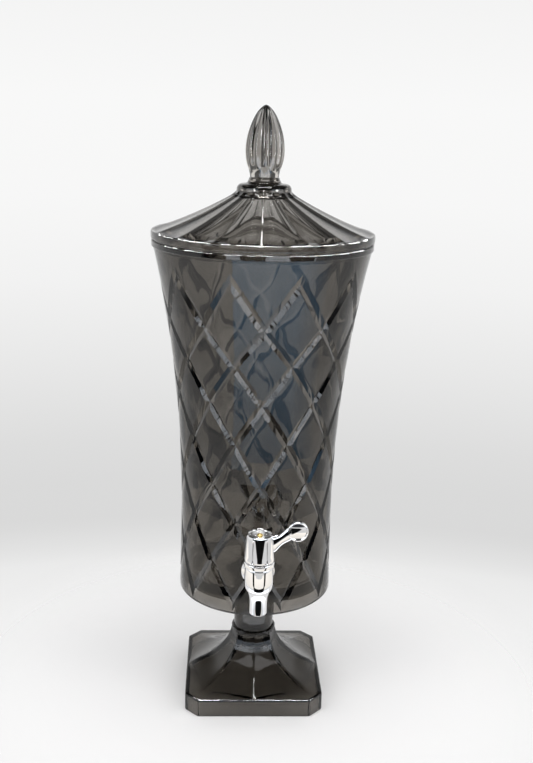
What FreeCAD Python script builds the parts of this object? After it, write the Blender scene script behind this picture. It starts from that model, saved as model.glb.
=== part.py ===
import FreeCAD, Part
import math
import os
from FreeCAD import Vector

# Drink dispenser tower: a clear pedestal, a flared vessel twisted into it, a lift-off lid
# with a finial, and a quarter-turn tap on the front wall.
# Millimetres. Z is up, the tap faces -Y, and the origin is the middle of the underside.

# ---------------------------------------------------------------- driving dimensions
# Pedestal
base_width = 112.4
base_corner_cut = 10.5
base_corner_rounding = 3.0
base_edge_height = 15.5
base_wall = 3.5
base_ledge = 1.2
pedestal_height = 54.0
stem_step = 1.9
stem_collar_height = 3.0
flare_reach = 71.0
flare_fullness = 1.85
side_run_out = 8.5
flare_sections = 10
flare_bunching = 1.6
flare_wall = 4.5
shelf_thickness = 2.0

# Twist coupling between vessel and pedestal
spigot_step = 2.7
spigot_length = 14.0
lug_count = 3
lug_reach = 1.5
lug_height = 3.0
lug_angle = 30.0
lock_turn = 40.0
lug_play = 2.0
lug_share = 0.3
coupling_clearance = 0.3

# Vessel
neck_radius = 16.4
neck_bore_radius = 11.5
neck_length = 40.0
neck_fillet = 8.0
vessel_height = 286.0
foot_radius = 62.6
waist_radius = 61.3
waist_rise = 66.0
mouth_radius = 85.0
flare_power = 2.15
vessel_wall = 4.0
floor_rise = 16.0
floor_thickness = 4.5
foot_ring_width = 5.0
foot_ring_draft = 1.0
foot_rounding = 2.0
floor_corner = 9.0
rim_height = 4.5
rim_overhang = 0.3
wall_points = 10

# Lid
lid_gap = 1.5
lid_seat_gap = 0.25
lid_overhang = 0.7
lid_seat_inset = 1.2
lid_edge_height = 4.5
lid_shoulder = 1.1
lid_shoulder_lean = 0.2
lid_thickness = 3.0
lid_rise = 28.9
lid_hollow_share = 0.28
cone_points = 7
locating_ring_depth = 7.0
locating_ring_clearance = 0.8
locating_ring_wall = 2.6
locating_ring_root = 2.0
collar_radius = 20.8
collar_height = 3.2
collar_crown = 8.0
collar_foot_margin = 4.0
collar_plate = 5.0
lid_hollow_corner = 1.0

# Finial
finial_height = 56.0
finial_radius = 14.7
finial_neck_radius = 10.9
finial_spigot_radius = 5.0
finial_spigot_length = 6.0
bond_clearance = 0.05

# Tap, its axis upright in front of the vessel
tap_rise = 41.0
tap_arm_reach = 18.5
shank_radius = 7.9
shank_length = 20.0
shank_clearance = 0.25
pad_radius = 13.0
pad_proud = 0.92
pad_inner_proud = 0.13
washer_radius = 12.0
washer_thickness = 1.8
nut_across_flats = 22.0
nut_thickness = 6.0
thread_clearance = 0.05
washer_clearance = 0.1
flange_radius = 12.75
flange_thickness = 3.2
arm_radius = 7.6
inlet_bore_radius = 3.6
spout_radius = 6.5
spout_drop = 25.2
outlet_bore_radius = 4.2
belly_radius = 10.9
belly_rise = 0.0
barrel_top = 13.6
barrel_shoulder_radius = 10.5
bonnet_radius = 10.4
bonnet_height = 4.5
bonnet_thread_radius = 9.0
bonnet_thread_height = 1.9
bonnet_gap = 0.1
bonnet_edge = 0.5
spout_lip = 1.0

# Valve plug
chamber_radius = 5.0
plug_clearance = 0.05
chamber_depth = 7.9
plug_window_radius = 2.6
plug_drain_radius = 3.0
plug_collar_radius = 7.3
plug_collar_height = 1.8
plug_end_gap = 0.1
collar_pocket_clearance = 0.1
stem_clearance = 0.08
drive_stem_radius = 4.0
stop_tab_reach = 0.8
stop_tab_angle = 24.0
stop_play = 2.0
tap_open_turn = 90.0
o_ring_radius = 0.7
o_ring_heights = (-6.4, 7.4)
o_ring_clearance = 0.04
seat_seal_radius = 5.4
seat_seal_length = 2.0
seat_seal_bite = 2.0

# Tap handle
handle_gap = 0.4
handle_height = 21.1
handle_bottom_radius = 11.4
handle_top_radius = 9.8
handle_wall = 1.2
handle_roof = 4.0
handle_boss_radius = 6.4
handle_cavity_roof = 3.0
handle_edge = 0.9
drive_clearance = 0.05
drive_flat = 3.0
grip_grooves = 6
grip_groove_radius = 0.7
grip_groove_stand = 0.25
badge_recess_depth = 1.6
badge_radius = 7.5
badge_thickness = 0.9
badge_rim = 1.0
badge_clearance = 0.1
stud_radius = 2.5
stud_height = 1.1
screw_radius = 1.5
screw_length = 11.0
screw_head_radius = 3.3
screw_head_height = 2.2
screw_seat_depth = 1.4
screw_clearance = 0.1
screw_slot_width = 0.8
screw_slot_length = 4.0
screw_slot_depth = 1.2
lever_thickness = 4.6
paddle_offset = 28.0
paddle_rise = 2.0
paddle_radius = 7.8
paddle_thickness = 4.0
paddle_rounding = 0.9
paddle_rim_width = 0.5
paddle_rim_height = 0.8
paddle_dome_height = 0.7

# Every cutter reaches this far past what it cuts, and surfaces that are glued or pressed
# face to face stand this far apart
overcut = 1.0
seat_gap = 0.02

# ---------------------------------------------------------------- derived places
vessel_base_z = pedestal_height + neck_length
vessel_top_z = vessel_base_z + vessel_height
waist_z = vessel_base_z + waist_rise
floor_z = vessel_base_z + floor_rise
stem_radius = neck_radius + stem_step
spigot_radius = neck_radius - spigot_step
socket_radius = spigot_radius + coupling_clearance
lug_radius = spigot_radius + lug_reach
slot_radius = lug_radius + coupling_clearance
spigot_end_z = pedestal_height - spigot_length
lug_z = spigot_end_z + lug_share * spigot_length
lid_radius = mouth_radius + lid_overhang
lid_edge_z = vessel_top_z + lid_gap
lid_cone_z = lid_edge_z + lid_edge_height + lid_shoulder
collar_z = lid_cone_z + lid_rise
finial_z = collar_z + collar_crown
cone_start_radius = lid_radius - 0.5 * lid_shoulder
tap_z = vessel_base_z + tap_rise


def body_radius(z):
    """Outer radius of the vessel's wall at height z: a power curve each way from the waist."""
    if z >= waist_z:
        share = (z - waist_z) / (vessel_top_z - waist_z)
        return waist_radius + (mouth_radius - waist_radius) * share ** flare_power
    share = (waist_z - z) / waist_rise
    return waist_radius + (foot_radius - waist_radius) * share ** 2


pad_wall_radii = [body_radius(tap_z - pad_radius), body_radius(tap_z + pad_radius)]
pad_outer_y = -(max(pad_wall_radii) + pad_proud)
pad_inner_reach = math.sqrt((min(pad_wall_radii) - vessel_wall) ** 2 - pad_radius ** 2)
pad_inner_y = -(pad_inner_reach - pad_inner_proud)
flange_back_y = pad_outer_y - washer_thickness
flange_front_y = flange_back_y - flange_thickness
tap_y = flange_front_y - tap_arm_reach
shank_end_y = flange_back_y + shank_length
bonnet_z = tap_z + barrel_top + bonnet_gap
handle_z = bonnet_z + bonnet_height + handle_gap
handle_top_z = handle_z + handle_height
badge_z = handle_top_z - badge_recess_depth
roof_z = badge_z - handle_roof
screw_seat_z = roof_z + screw_seat_depth
plug_top_z = roof_z - drive_clearance


# ---------------------------------------------------------------- helpers
def arc(middle, end):
    """A step of an outline: an arc through a middle point to an end point."""
    return ("arc", middle, end)


def curve(*points):
    """A step of an outline: a smooth curve through these points."""
    return ("curve",) + points


def outline(start, *steps):
    """Closed face in the X-Z plane; a bare point is a straight run."""
    def at(point):
        return Vector(point[0], 0, point[1])

    edges = []
    here = start
    for step in steps:
        if step[0] == "arc":
            edges.append(Part.Arc(at(here), at(step[1]), at(step[2])).toShape())
            here = step[2]
        elif step[0] == "curve":
            spline = Part.BSplineCurve()
            spline.interpolate([at(here)] + [at(point) for point in step[1:]])
            edges.append(spline.toShape())
            here = step[-1]
        else:
            edges.append(Part.makeLine(at(here), at(step)))
            here = step
    edges.append(Part.makeLine(at(here), at(start)))
    return Part.Face(Part.Wire(edges))


def turned(face, x=0.0, y=0.0):
    """Solid of revolution about an upright axis, moved to x, y."""
    solid = face.revolve(Vector(0, 0, 0), Vector(0, 0, 1), 360)
    solid.translate(Vector(x, y, 0))
    return solid


def upright(radius, low, high, x=0.0, y=0.0):
    """Upright cylinder between two heights."""
    return Part.makeCylinder(radius, high - low, Vector(x, y, low))


def along_y(radius, near, far, z):
    """Cylinder along Y between two places, at height z."""
    low, high = min(near, far), max(near, far)
    return Part.makeCylinder(radius, high - low, Vector(0, low, z), Vector(0, 1, 0))


def ring(outer, inner, low, high, x=0.0, y=0.0):
    """Upright ring between two heights."""
    return upright(outer, low, high, x, y).cut(upright(inner, low - overcut, high + overcut, x, y))


def sector(radius, low, high, start, sweep):
    """Upright pie slice about the main axis, from a start angle through a sweep."""
    slice_ = Part.makeCylinder(radius, high - low, Vector(0, 0, low), Vector(0, 0, 1), sweep)
    slice_.rotate(Vector(0, 0, 0), Vector(0, 0, 1), start)
    return slice_


def polygon(corners, z):
    """Closed wire through corners at height z."""
    points = [Vector(x, y, z) for x, y in corners]
    return Part.makePolygon(points + points[:1])


def arc_middle(centre, radius, degrees):
    """Point on a circle, for the middle of an arc."""
    angle = math.radians(degrees)
    return (centre[0] + radius * math.cos(angle), centre[1] + radius * math.sin(angle))


def evenly(low, high, count):
    """Evenly spaced values from low to high, both included."""
    return [low + (high - low) * i / (count - 1) for i in range(count)]


# ---------------------------------------------------------------- pedestal
def cut_square(half, cut):
    """Corners of a square of this half width with its corners cut off."""
    near = half - cut
    return [(near, -half), (half, -near), (half, near), (near, half),
            (-near, half), (-half, near), (-half, -near), (-near, -half)]


def flare_radius(z):
    """Radius of the flare's ridges at height z, a concave super-ellipse."""
    share = (pedestal_height - z) / (pedestal_height - base_edge_height)
    share = min(max(share, 0.0), 1.0)
    rest = (1 - share ** flare_fullness) ** (1 / flare_fullness)
    return flare_reach - (flare_reach - stem_radius) * rest


def side_radius(z):
    """Radius of the mid-side ridges, which run straight out to the edge near the base."""
    edge = base_width / 2 - base_ledge
    share = (z - base_edge_height) / side_run_out
    if share >= 1:
        return flare_radius(z)
    return edge + (flare_radius(base_edge_height + side_run_out) - edge) * share


def flare_wire(z, inset):
    """Octagon section of the flare at height z, with ridges at mid sides and at corners."""
    level = z + inset
    corner_limit = (base_width - base_corner_cut) / math.sqrt(2) - base_ledge * math.sqrt(2)
    radii = (side_radius(level) - inset, min(flare_radius(level), corner_limit) - inset)
    corners = []
    for i in range(8):
        angle = math.radians(45 * i)
        corners.append((radii[i % 2] * math.cos(angle), radii[i % 2] * math.sin(angle)))
    return polygon(corners, z)


def flare_solid(low, high, inset):
    """Eight-sided concave flare between two heights, inset from the outer surface."""
    heights = [low + (high - low) * (i / flare_sections) ** flare_bunching
               for i in range(flare_sections + 1)]
    return Part.makeLoft([flare_wire(z, inset) for z in heights], True, True)


def make_pedestal():
    roof = base_edge_height - base_wall
    shelf_z = spigot_end_z - shelf_thickness
    slab = Part.Face(polygon(cut_square(base_width / 2, base_corner_cut), 0))
    slab = slab.extrude(Vector(0, 0, base_edge_height))
    upright_edges = [e for e in slab.Edges if e.BoundBox.ZLength > 0.9 * base_edge_height]
    slab = slab.makeFillet(base_corner_rounding, upright_edges)
    inner_half = base_width / 2 - base_wall
    inner_cut = base_corner_cut - base_wall * (2 - math.sqrt(2))
    pocket = Part.Face(polygon(cut_square(inner_half, inner_cut), -overcut))
    pocket = pocket.extrude(Vector(0, 0, roof + overcut))
    shell = slab.fuse(flare_solid(base_edge_height, pedestal_height, 0))
    shell = shell.fuse(upright(stem_radius, pedestal_height - stem_collar_height, pedestal_height))
    shell = shell.cut(pocket)
    shell = shell.cut(flare_solid(roof - overcut / 2, shelf_z, flare_wall))
    shell = shell.cut(upright(socket_radius, shelf_z - overcut, pedestal_height + overcut))
    for i in range(lug_count):
        start = i * 360 / lug_count - lug_angle / 2 - lug_play
        wide = lug_angle + 2 * lug_play
        low = lug_z - coupling_clearance
        entry = sector(slot_radius, low, pedestal_height + overcut, start - lock_turn, wide)
        channel = sector(slot_radius, low, lug_z + lug_height + coupling_clearance,
                         start - lock_turn, wide + lock_turn)
        shell = shell.cut(entry.fuse(channel))
    return shell


# ---------------------------------------------------------------- vessel
def make_vessel():
    wall_top = vessel_top_z - rim_height
    underside_z = floor_z - floor_thickness
    ring_inner = foot_radius - foot_ring_width
    fillet_z = underside_z - neck_fillet
    fillet_centre = (neck_radius + neck_fillet, fillet_z)
    foot_centre = (foot_radius - foot_rounding, vessel_base_z + foot_rounding)
    rim_radius = mouth_radius + rim_overhang
    inner_top = mouth_radius - vessel_wall
    corner_low = (body_radius(floor_z) - vessel_wall - floor_corner, floor_z)
    corner_top_z = floor_z + floor_corner
    corner_top = (body_radius(corner_top_z) - vessel_wall, corner_top_z)
    corner_centre = (corner_top[0] - floor_corner, corner_top_z)
    outer = [(body_radius(z), z) for z in evenly(foot_centre[1], wall_top, wall_points)]
    inner = [(body_radius(z) - vessel_wall, z) for z in evenly(wall_top, corner_top_z, wall_points)]
    face = outline(
        (neck_bore_radius, spigot_end_z),
        (spigot_radius, spigot_end_z),
        (spigot_radius, pedestal_height),
        (neck_radius, pedestal_height),
        (neck_radius, fillet_z),
        arc(arc_middle(fillet_centre, neck_fillet, 135), (neck_radius + neck_fillet, underside_z)),
        (ring_inner, underside_z),
        (ring_inner + foot_ring_draft, vessel_base_z),
        (foot_radius - foot_rounding, vessel_base_z),
        arc(arc_middle(foot_centre, foot_rounding, -45), outer[0]),
        curve(*outer[1:]),
        (rim_radius, wall_top),
        (rim_radius, vessel_top_z),
        (inner_top, vessel_top_z),
        inner[0],
        curve(*inner[1:]),
        arc(arc_middle(corner_centre, floor_corner, -45), corner_low),
        (0, floor_z),
        (0, underside_z),
        (neck_bore_radius, underside_z),
    )
    vessel = turned(face)
    vessel = vessel.fuse(along_y(pad_radius, pad_outer_y, pad_inner_y, tap_z))
    hole_radius = shank_radius + shank_clearance
    vessel = vessel.cut(along_y(hole_radius, pad_outer_y - overcut, pad_inner_y + overcut, tap_z))
    for i in range(lug_count):
        start = i * 360 / lug_count - lug_angle / 2
        lug = sector(lug_radius, lug_z, lug_z + lug_height, start, lug_angle)
        core = upright(spigot_radius - overcut, lug_z - overcut, lug_z + lug_height + overcut)
        vessel = vessel.fuse(lug.cut(core))
    return vessel.removeSplitter()


# ---------------------------------------------------------------- lid
def cone_height(radius):
    """Height of the lid's outer cone at a radius, slightly hollow."""
    share = (cone_start_radius - radius) / (cone_start_radius - collar_radius)
    straight = 1 - lid_hollow_share
    return lid_cone_z + lid_rise * (straight * share + lid_hollow_share * share ** 2)


def make_lid_shell():
    radii = evenly(cone_start_radius, collar_radius, cone_points)
    cone = [(r, cone_height(r)) for r in radii]
    under_radii = evenly(collar_radius - collar_foot_margin, cone_start_radius - 2, cone_points)
    under = [(r, min(cone_height(r), collar_z) - lid_thickness) for r in under_radii]
    seat_z = vessel_top_z + lid_seat_gap
    tightest = body_radius(vessel_top_z - locating_ring_depth) - vessel_wall
    ring_outer = tightest - locating_ring_clearance
    ring_inner = ring_outer - locating_ring_wall
    edge_top = lid_edge_z + lid_edge_height
    seat_radius = mouth_radius - lid_seat_inset
    crown_z = collar_z + collar_height
    spigot_hole = finial_spigot_radius + bond_clearance
    plate_z = finial_z - collar_plate
    face = outline(
        (spigot_hole, plate_z),
        (under[0][0] - lid_hollow_corner, plate_z),
        (under[0][0], plate_z - lid_hollow_corner),
        under[0],
        curve(*under[1:-1]),
        (ring_inner, seat_z + locating_ring_root),
        (ring_inner, seat_z - locating_ring_depth),
        (ring_outer, seat_z - locating_ring_depth),
        (ring_outer, seat_z),
        (seat_radius, seat_z),
        (seat_radius, lid_edge_z),
        (lid_radius, lid_edge_z),
        (lid_radius, edge_top),
        curve((lid_radius - lid_shoulder_lean, edge_top + 0.55 * lid_shoulder), cone[0]),
        curve(*cone[1:]),
        (collar_radius, crown_z),
        arc((collar_radius - 1.0, crown_z + 2.3), (collar_radius - 3.6, crown_z + 3.5)),
        curve((finial_neck_radius + 2.6, finial_z - 0.7), (finial_neck_radius + 1.7, finial_z)),
        (spigot_hole, finial_z),
    )
    return turned(face)


def make_finial():
    z0 = finial_z + seat_gap
    top = z0 + finial_height
    k = finial_height
    bud = [(0.785, 0.135), (0.90, 0.22), (0.975, 0.31), (1.0, 0.43), (0.94, 0.575),
           (0.80, 0.705), (0.60, 0.83), (0.40, 0.917), (0.20, 0.972)]
    face = outline(
        (0, z0 - finial_spigot_length),
        (finial_spigot_radius, z0 - finial_spigot_length),
        (finial_spigot_radius, z0),
        (finial_neck_radius + 1.6, z0),
        curve((finial_neck_radius + 0.3, z0 + 0.03 * k), (finial_neck_radius, z0 + 0.08 * k)),
        curve(*[(finial_radius * r, z0 + k * h) for r, h in bud], (0, top)),
    )
    return turned(face)


# ---------------------------------------------------------------- tap fixed pieces
def make_washer(near, inward):
    """Flat silicone washer on the shank, from a pad face away from the wall."""
    far = near + inward * washer_thickness
    blank = along_y(washer_radius, near, far, tap_z)
    return blank.cut(along_y(shank_radius + washer_clearance, near - pad_radius, near + pad_radius, tap_z))


def make_lock_nut():
    near = pad_inner_y + washer_thickness
    radius = nut_across_flats / math.sqrt(3)
    corners = [(radius * math.cos(math.radians(60 * i)), radius * math.sin(math.radians(60 * i)))
               for i in range(6)]
    nut = Part.Face(polygon(corners, 0)).extrude(Vector(0, 0, nut_thickness))
    nut.rotate(Vector(0, 0, 0), Vector(1, 0, 0), -90)
    nut.translate(Vector(0, near, tap_z))
    bore = shank_radius + thread_clearance
    return nut.cut(along_y(bore, near - overcut, near + nut_thickness + overcut, tap_z))


def make_tap_body():
    z = tap_z
    foot_z = z - spout_drop
    thread_top = z + barrel_top + bonnet_thread_height
    collar_floor = thread_top - plug_collar_height - 3 * plug_end_gap
    column = outline(
        (0, foot_z),
        (spout_radius - 0.8 * spout_lip, foot_z),
        arc((spout_radius - 0.2 * spout_lip, foot_z + 0.3 * spout_lip), (spout_radius, foot_z + spout_lip)),
        (spout_radius + 0.3, z - 0.56 * spout_drop),
        curve((spout_radius + 0.8, z - 0.42 * spout_drop),
              (0.8 * belly_radius, z - 0.26 * spout_drop),
              (0.96 * belly_radius, z - 0.13 * spout_drop),
              (belly_radius, z + belly_rise)),
        (barrel_shoulder_radius, z + barrel_top),
        (bonnet_thread_radius, z + barrel_top),
        (bonnet_thread_radius, thread_top),
        (0, thread_top),
    )
    body = turned(column, 0, tap_y)
    body = body.fuse(along_y(arm_radius, tap_y, flange_front_y + overcut, z))
    body = body.fuse(along_y(flange_radius, flange_front_y, flange_back_y, z))
    body = body.fuse(along_y(shank_radius, flange_back_y - overcut, shank_end_y, z))
    body = body.cut(along_y(inlet_bore_radius, tap_y, shank_end_y + overcut, z))
    body = body.cut(along_y(seat_seal_radius + bond_clearance, tap_y,
                            tap_y + chamber_radius + seat_seal_length, z))
    body = body.cut(upright(chamber_radius, z - chamber_depth, thread_top + overcut, 0, tap_y))
    body = body.cut(upright(outlet_bore_radius, foot_z - overcut, z - chamber_depth + overcut, 0, tap_y))
    pocket_radius = plug_collar_radius + collar_pocket_clearance
    body = body.cut(upright(pocket_radius, collar_floor, thread_top + overcut, 0, tap_y))
    notch = sector(pocket_radius + stop_tab_reach, collar_floor, thread_top + overcut,
                   tab_start() - tap_open_turn - stop_play,
                   tap_open_turn + stop_tab_angle + 2 * stop_play)
    notch.translate(Vector(0, tap_y, 0))
    return body.cut(notch)


def make_seat_seal():
    near = tap_y + chamber_radius - seat_seal_bite
    far = tap_y + chamber_radius + seat_seal_length - bond_clearance
    low, high = tap_z - seat_seal_radius, tap_z + seat_seal_radius
    seal = along_y(seat_seal_radius, near, far, tap_z)
    seal = seal.cut(along_y(inlet_bore_radius, near - overcut, far + overcut, tap_z))
    return seal.cut(upright(chamber_radius + seat_gap / 2, low - overcut, high + overcut, 0, tap_y))


def make_bonnet():
    thread = bonnet_thread_radius + thread_clearance
    plate_z = tap_z + barrel_top + bonnet_thread_height + bonnet_gap
    blank = upright(bonnet_radius, bonnet_z, bonnet_z + bonnet_height, 0, tap_y)
    edges = [e for e in blank.Edges if abs(e.BoundBox.ZMin - e.BoundBox.ZMax) < 0.01]
    blank = blank.makeFillet(bonnet_edge, edges)
    blank = blank.cut(upright(thread, bonnet_z - overcut, plate_z, 0, tap_y))
    return blank.cut(upright(drive_stem_radius + stem_clearance, bonnet_z - overcut, handle_z, 0, tap_y))


# ---------------------------------------------------------------- tap turning pieces
def tab_start():
    """Angle at which the stop tab starts when the tap is shut."""
    return tap_open_turn / 2 - stop_tab_angle / 2


def drive_key(clearance):
    """What is cut off a round stem of this clearance to give it its drive flat."""
    low = tap_z + barrel_top + bonnet_height
    wide = 2 * handle_bottom_radius
    corner = Vector(-wide / 2, tap_y + drive_flat + clearance, low)
    return Part.makeBox(wide, wide, handle_height + wide, corner)


def make_plug():
    z = tap_z
    collar_z = z + barrel_top + bonnet_thread_height - plug_collar_height - plug_end_gap
    plug_foot = z - chamber_depth + plug_end_gap
    barrel = upright(chamber_radius - plug_clearance, plug_foot, collar_z + overcut, 0, tap_y)
    collar = upright(plug_collar_radius, collar_z, collar_z + plug_collar_height, 0, tap_y)
    tab = sector(plug_collar_radius + stop_tab_reach, collar_z, collar_z + plug_collar_height,
                 tab_start(), stop_tab_angle)
    tab.translate(Vector(0, tap_y, 0))
    stem = upright(drive_stem_radius, collar_z, plug_top_z, 0, tap_y).cut(drive_key(0))
    plug = barrel.fuse(collar).fuse(tab).fuse(stem)
    drain_top = z + plug_window_radius + overcut
    plug = plug.cut(upright(plug_drain_radius, plug_foot - overcut, drain_top, 0, tap_y))
    window = Part.makeCylinder(plug_window_radius, 2 * chamber_radius, Vector(0, tap_y, z), Vector(-1, 0, 0))
    plug = plug.cut(window)
    pilot = screw_radius + seat_gap
    plug = plug.cut(upright(pilot, roof_z - screw_length, plug_top_z + overcut, 0, tap_y))
    for height in o_ring_heights:
        plug = plug.cut(o_ring(height, o_ring_radius + o_ring_clearance))
    return plug


def o_ring(height, radius):
    """One O-ring at a height on the plug, its outer edge a running fit in the chamber."""
    centre = chamber_radius - plug_clearance - o_ring_radius
    return Part.makeTorus(centre, radius, Vector(0, tap_y, tap_z + height))


def make_o_rings():
    return Part.makeCompound([o_ring(height, o_ring_radius) for height in o_ring_heights])


def make_paddle(z):
    """Round end of the lever: on each side a low dome inside a rim."""
    near = Vector(paddle_offset, tap_y - paddle_thickness / 2, z)
    paddle = Part.makeCylinder(paddle_radius, paddle_thickness, near, Vector(0, 1, 0))
    paddle = paddle.makeFillet(paddle_rounding, paddle.Edges[0:1] + paddle.Edges[2:3])
    dome_radius = paddle_radius - paddle_rounding - paddle_rim_width
    sphere_radius = (dome_radius ** 2 + paddle_dome_height ** 2) / (2 * paddle_dome_height)
    for side in (-1, 1):
        foot = tap_y + side * (paddle_thickness / 2 - paddle_rim_height)
        start = Vector(paddle_offset, foot - side * overcut, z)
        pocket = Part.makeCylinder(dome_radius, paddle_rim_height + 2 * overcut, start, Vector(0, side, 0))
        centre = Vector(paddle_offset, foot + side * (paddle_dome_height - sphere_radius), z)
        paddle = paddle.cut(pocket.cut(Part.makeSphere(sphere_radius, centre)))
    return paddle


def make_lever():
    """Side lever: an S-shaped arm that narrows towards a round paddle."""
    paddle_z = handle_top_z + paddle_rise
    half = lever_thickness / 2
    reach = paddle_offset - paddle_radius
    arm = outline(
        (0.6 * handle_bottom_radius, handle_top_z - 15.7),
        curve((11.4, handle_top_z - 15.0), (0.58 * paddle_offset, handle_top_z - 8.9),
              (reach + 2.5, paddle_z - 0.9 * paddle_radius)),
        (reach + 2.5, paddle_z + 0.75 * paddle_radius),
        curve((0.68 * paddle_offset, handle_top_z + 3.1), (0.55 * paddle_offset, handle_top_z + 0.1),
              (0.36 * paddle_offset, handle_top_z - 1.8), (0.6 * handle_bottom_radius, handle_top_z - 2.8)),
    ).extrude(Vector(0, lever_thickness, 0))
    arm.translate(Vector(0, tap_y - half, 0))
    place = Vector(paddle_offset, tap_y - lever_thickness, paddle_z)
    within = paddle_radius - paddle_rounding / 2
    inside = Part.makeCylinder(within, 2 * lever_thickness, place, Vector(0, 1, 0))
    return arm.cut(inside).fuse(make_paddle(paddle_z))


def make_handle():
    slope = (handle_bottom_radius - handle_top_radius) / handle_height
    face = outline(
        (0, handle_z),
        (handle_bottom_radius - handle_edge, handle_z),
        arc((handle_bottom_radius - 0.25 * handle_edge, handle_z + 0.25 * handle_edge),
            (handle_bottom_radius, handle_z + handle_edge)),
        (handle_top_radius + slope * handle_edge, handle_top_z - handle_edge),
        arc((handle_top_radius - 0.2 * handle_edge, handle_top_z - 0.2 * handle_edge),
            (handle_top_radius - handle_edge, handle_top_z)),
        (0, handle_top_z),
    )
    cap = turned(face, 0, tap_y)
    for i in range(grip_grooves):
        angle = 360 / grip_grooves * (i + 0.5)
        foot = Vector(handle_bottom_radius + grip_groove_stand, 0, handle_z - 2 * overcut)
        lean = Vector(-slope, 0, 1)
        groove = Part.makeCylinder(grip_groove_radius, handle_height - 2 * overcut, foot, lean)
        groove.rotate(Vector(0, 0, 0), Vector(0, 0, 1), angle - 90)
        groove.translate(Vector(0, tap_y, 0))
        cap = cap.cut(groove)
    cap = cap.fuse(make_lever())
    cavity = ring(handle_top_radius - handle_wall, handle_boss_radius,
                  handle_z - overcut, roof_z - handle_cavity_roof, 0, tap_y)
    bore = upright(drive_stem_radius + drive_clearance, handle_z - overcut, roof_z, 0, tap_y)
    bore = bore.cut(drive_key(drive_clearance))
    cap = cap.cut(cavity).cut(bore)
    cap = cap.cut(upright(screw_radius + screw_clearance, roof_z - overcut, handle_top_z, 0, tap_y))
    cap = cap.cut(upright(screw_head_radius + screw_clearance, screw_seat_z, handle_top_z, 0, tap_y))
    return cap.cut(upright(badge_radius + badge_clearance, badge_z, handle_top_z + overcut, 0, tap_y))


def make_screw():
    seat = screw_seat_z + seat_gap
    head_top = seat + screw_head_height
    screw = upright(screw_radius, roof_z - screw_length + overcut / 2, head_top - screw_slot_depth, 0, tap_y)
    screw = screw.fuse(upright(screw_head_radius, seat, head_top, 0, tap_y))
    for length, width in ((screw_slot_length, screw_slot_width), (screw_slot_width, screw_slot_length)):
        corner = Vector(-length / 2, tap_y - width / 2, head_top - screw_slot_depth)
        screw = screw.cut(Part.makeBox(length, width, screw_slot_depth + overcut, corner))
    return screw


def make_badge():
    low = badge_z + seat_gap
    dish = 0.5 * badge_thickness
    face = outline(
        (0, low),
        (badge_radius, low),
        (badge_radius, low + badge_thickness),
        (badge_radius - badge_rim, low + badge_thickness),
        curve((0.5 * badge_radius, low + badge_thickness - 0.8 * dish),
              (stud_radius, low + badge_thickness - dish)),
        (0, low + badge_thickness - dish),
    )
    return turned(face, 0, tap_y)


def make_stud():
    low = badge_z + 0.5 * badge_thickness + 2 * seat_gap
    stud = upright(stud_radius - bond_clearance, low, low + stud_height, 0, tap_y)
    top_edges = [e for e in stud.Edges if e.BoundBox.ZMin > low + 0.9 * stud_height]
    return stud.makeFillet(0.6 * stud_height, top_edges)


# ---------------------------------------------------------------- assembly
pieces = {
    "pedestal": make_pedestal(),
    "vessel": make_vessel(),
    "lid_shell": make_lid_shell(),
    "finial": make_finial(),
    "tap_outer_washer": make_washer(pad_outer_y, -1),
    "tap_inner_washer": make_washer(pad_inner_y, 1),
    "tap_lock_nut": make_lock_nut(),
    "tap_body": make_tap_body(),
    "seat_seal": make_seat_seal(),
    "tap_bonnet": make_bonnet(),
    "tap_plug": make_plug(),
    "plug_o_rings": make_o_rings(),
    "tap_handle": make_handle(),
    "handle_screw": make_screw(),
    "handle_badge": make_badge(),
    "badge_stud": make_stud(),
}

os.makedirs("parts", exist_ok=True)
for name, shape in pieces.items():
    shape.exportStep("parts/" + name + ".step")
    box = shape.BoundBox
    print("%-18s solids %d  valid %s  x %.2f %.2f  y %.2f %.2f  z %.2f %.2f" % (
        name, len(shape.Solids), shape.isValid(),
        box.XMin, box.XMax, box.YMin, box.YMax, box.ZMin, box.ZMax))
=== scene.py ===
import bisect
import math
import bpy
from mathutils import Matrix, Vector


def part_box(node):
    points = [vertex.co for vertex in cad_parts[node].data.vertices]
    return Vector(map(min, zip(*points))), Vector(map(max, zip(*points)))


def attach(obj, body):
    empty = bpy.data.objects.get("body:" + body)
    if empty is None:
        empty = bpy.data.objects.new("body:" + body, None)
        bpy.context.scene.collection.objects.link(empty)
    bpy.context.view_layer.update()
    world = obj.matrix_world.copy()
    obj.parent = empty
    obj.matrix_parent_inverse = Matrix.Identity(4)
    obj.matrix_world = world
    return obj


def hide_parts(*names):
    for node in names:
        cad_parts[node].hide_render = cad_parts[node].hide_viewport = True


bl_info = {
    "name": "Smoke Drink Tower",
    "version": (1, 0, 0),
    "blender": (4, 5, 0),
    "location": "3D View > Sidebar > Tower",
    "description": "Builds the looks of a clear smoke-grey drink tower around its packed frame",
    "category": "Add Mesh",
}

import bmesh
import bpy
from mathutils import Matrix, Vector, noise

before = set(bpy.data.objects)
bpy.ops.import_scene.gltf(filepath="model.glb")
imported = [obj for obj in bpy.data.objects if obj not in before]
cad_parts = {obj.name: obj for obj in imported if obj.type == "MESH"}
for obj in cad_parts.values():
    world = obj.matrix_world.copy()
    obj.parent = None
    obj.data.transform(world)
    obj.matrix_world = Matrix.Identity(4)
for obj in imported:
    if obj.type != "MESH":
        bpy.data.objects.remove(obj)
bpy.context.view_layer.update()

# Metres, Z up. The tap faces -Y, and angles round the tower are counted from there towards +X.
STAND, LID, LEVER = "stand_and_vessel", "lid", "tap_lever"

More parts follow.
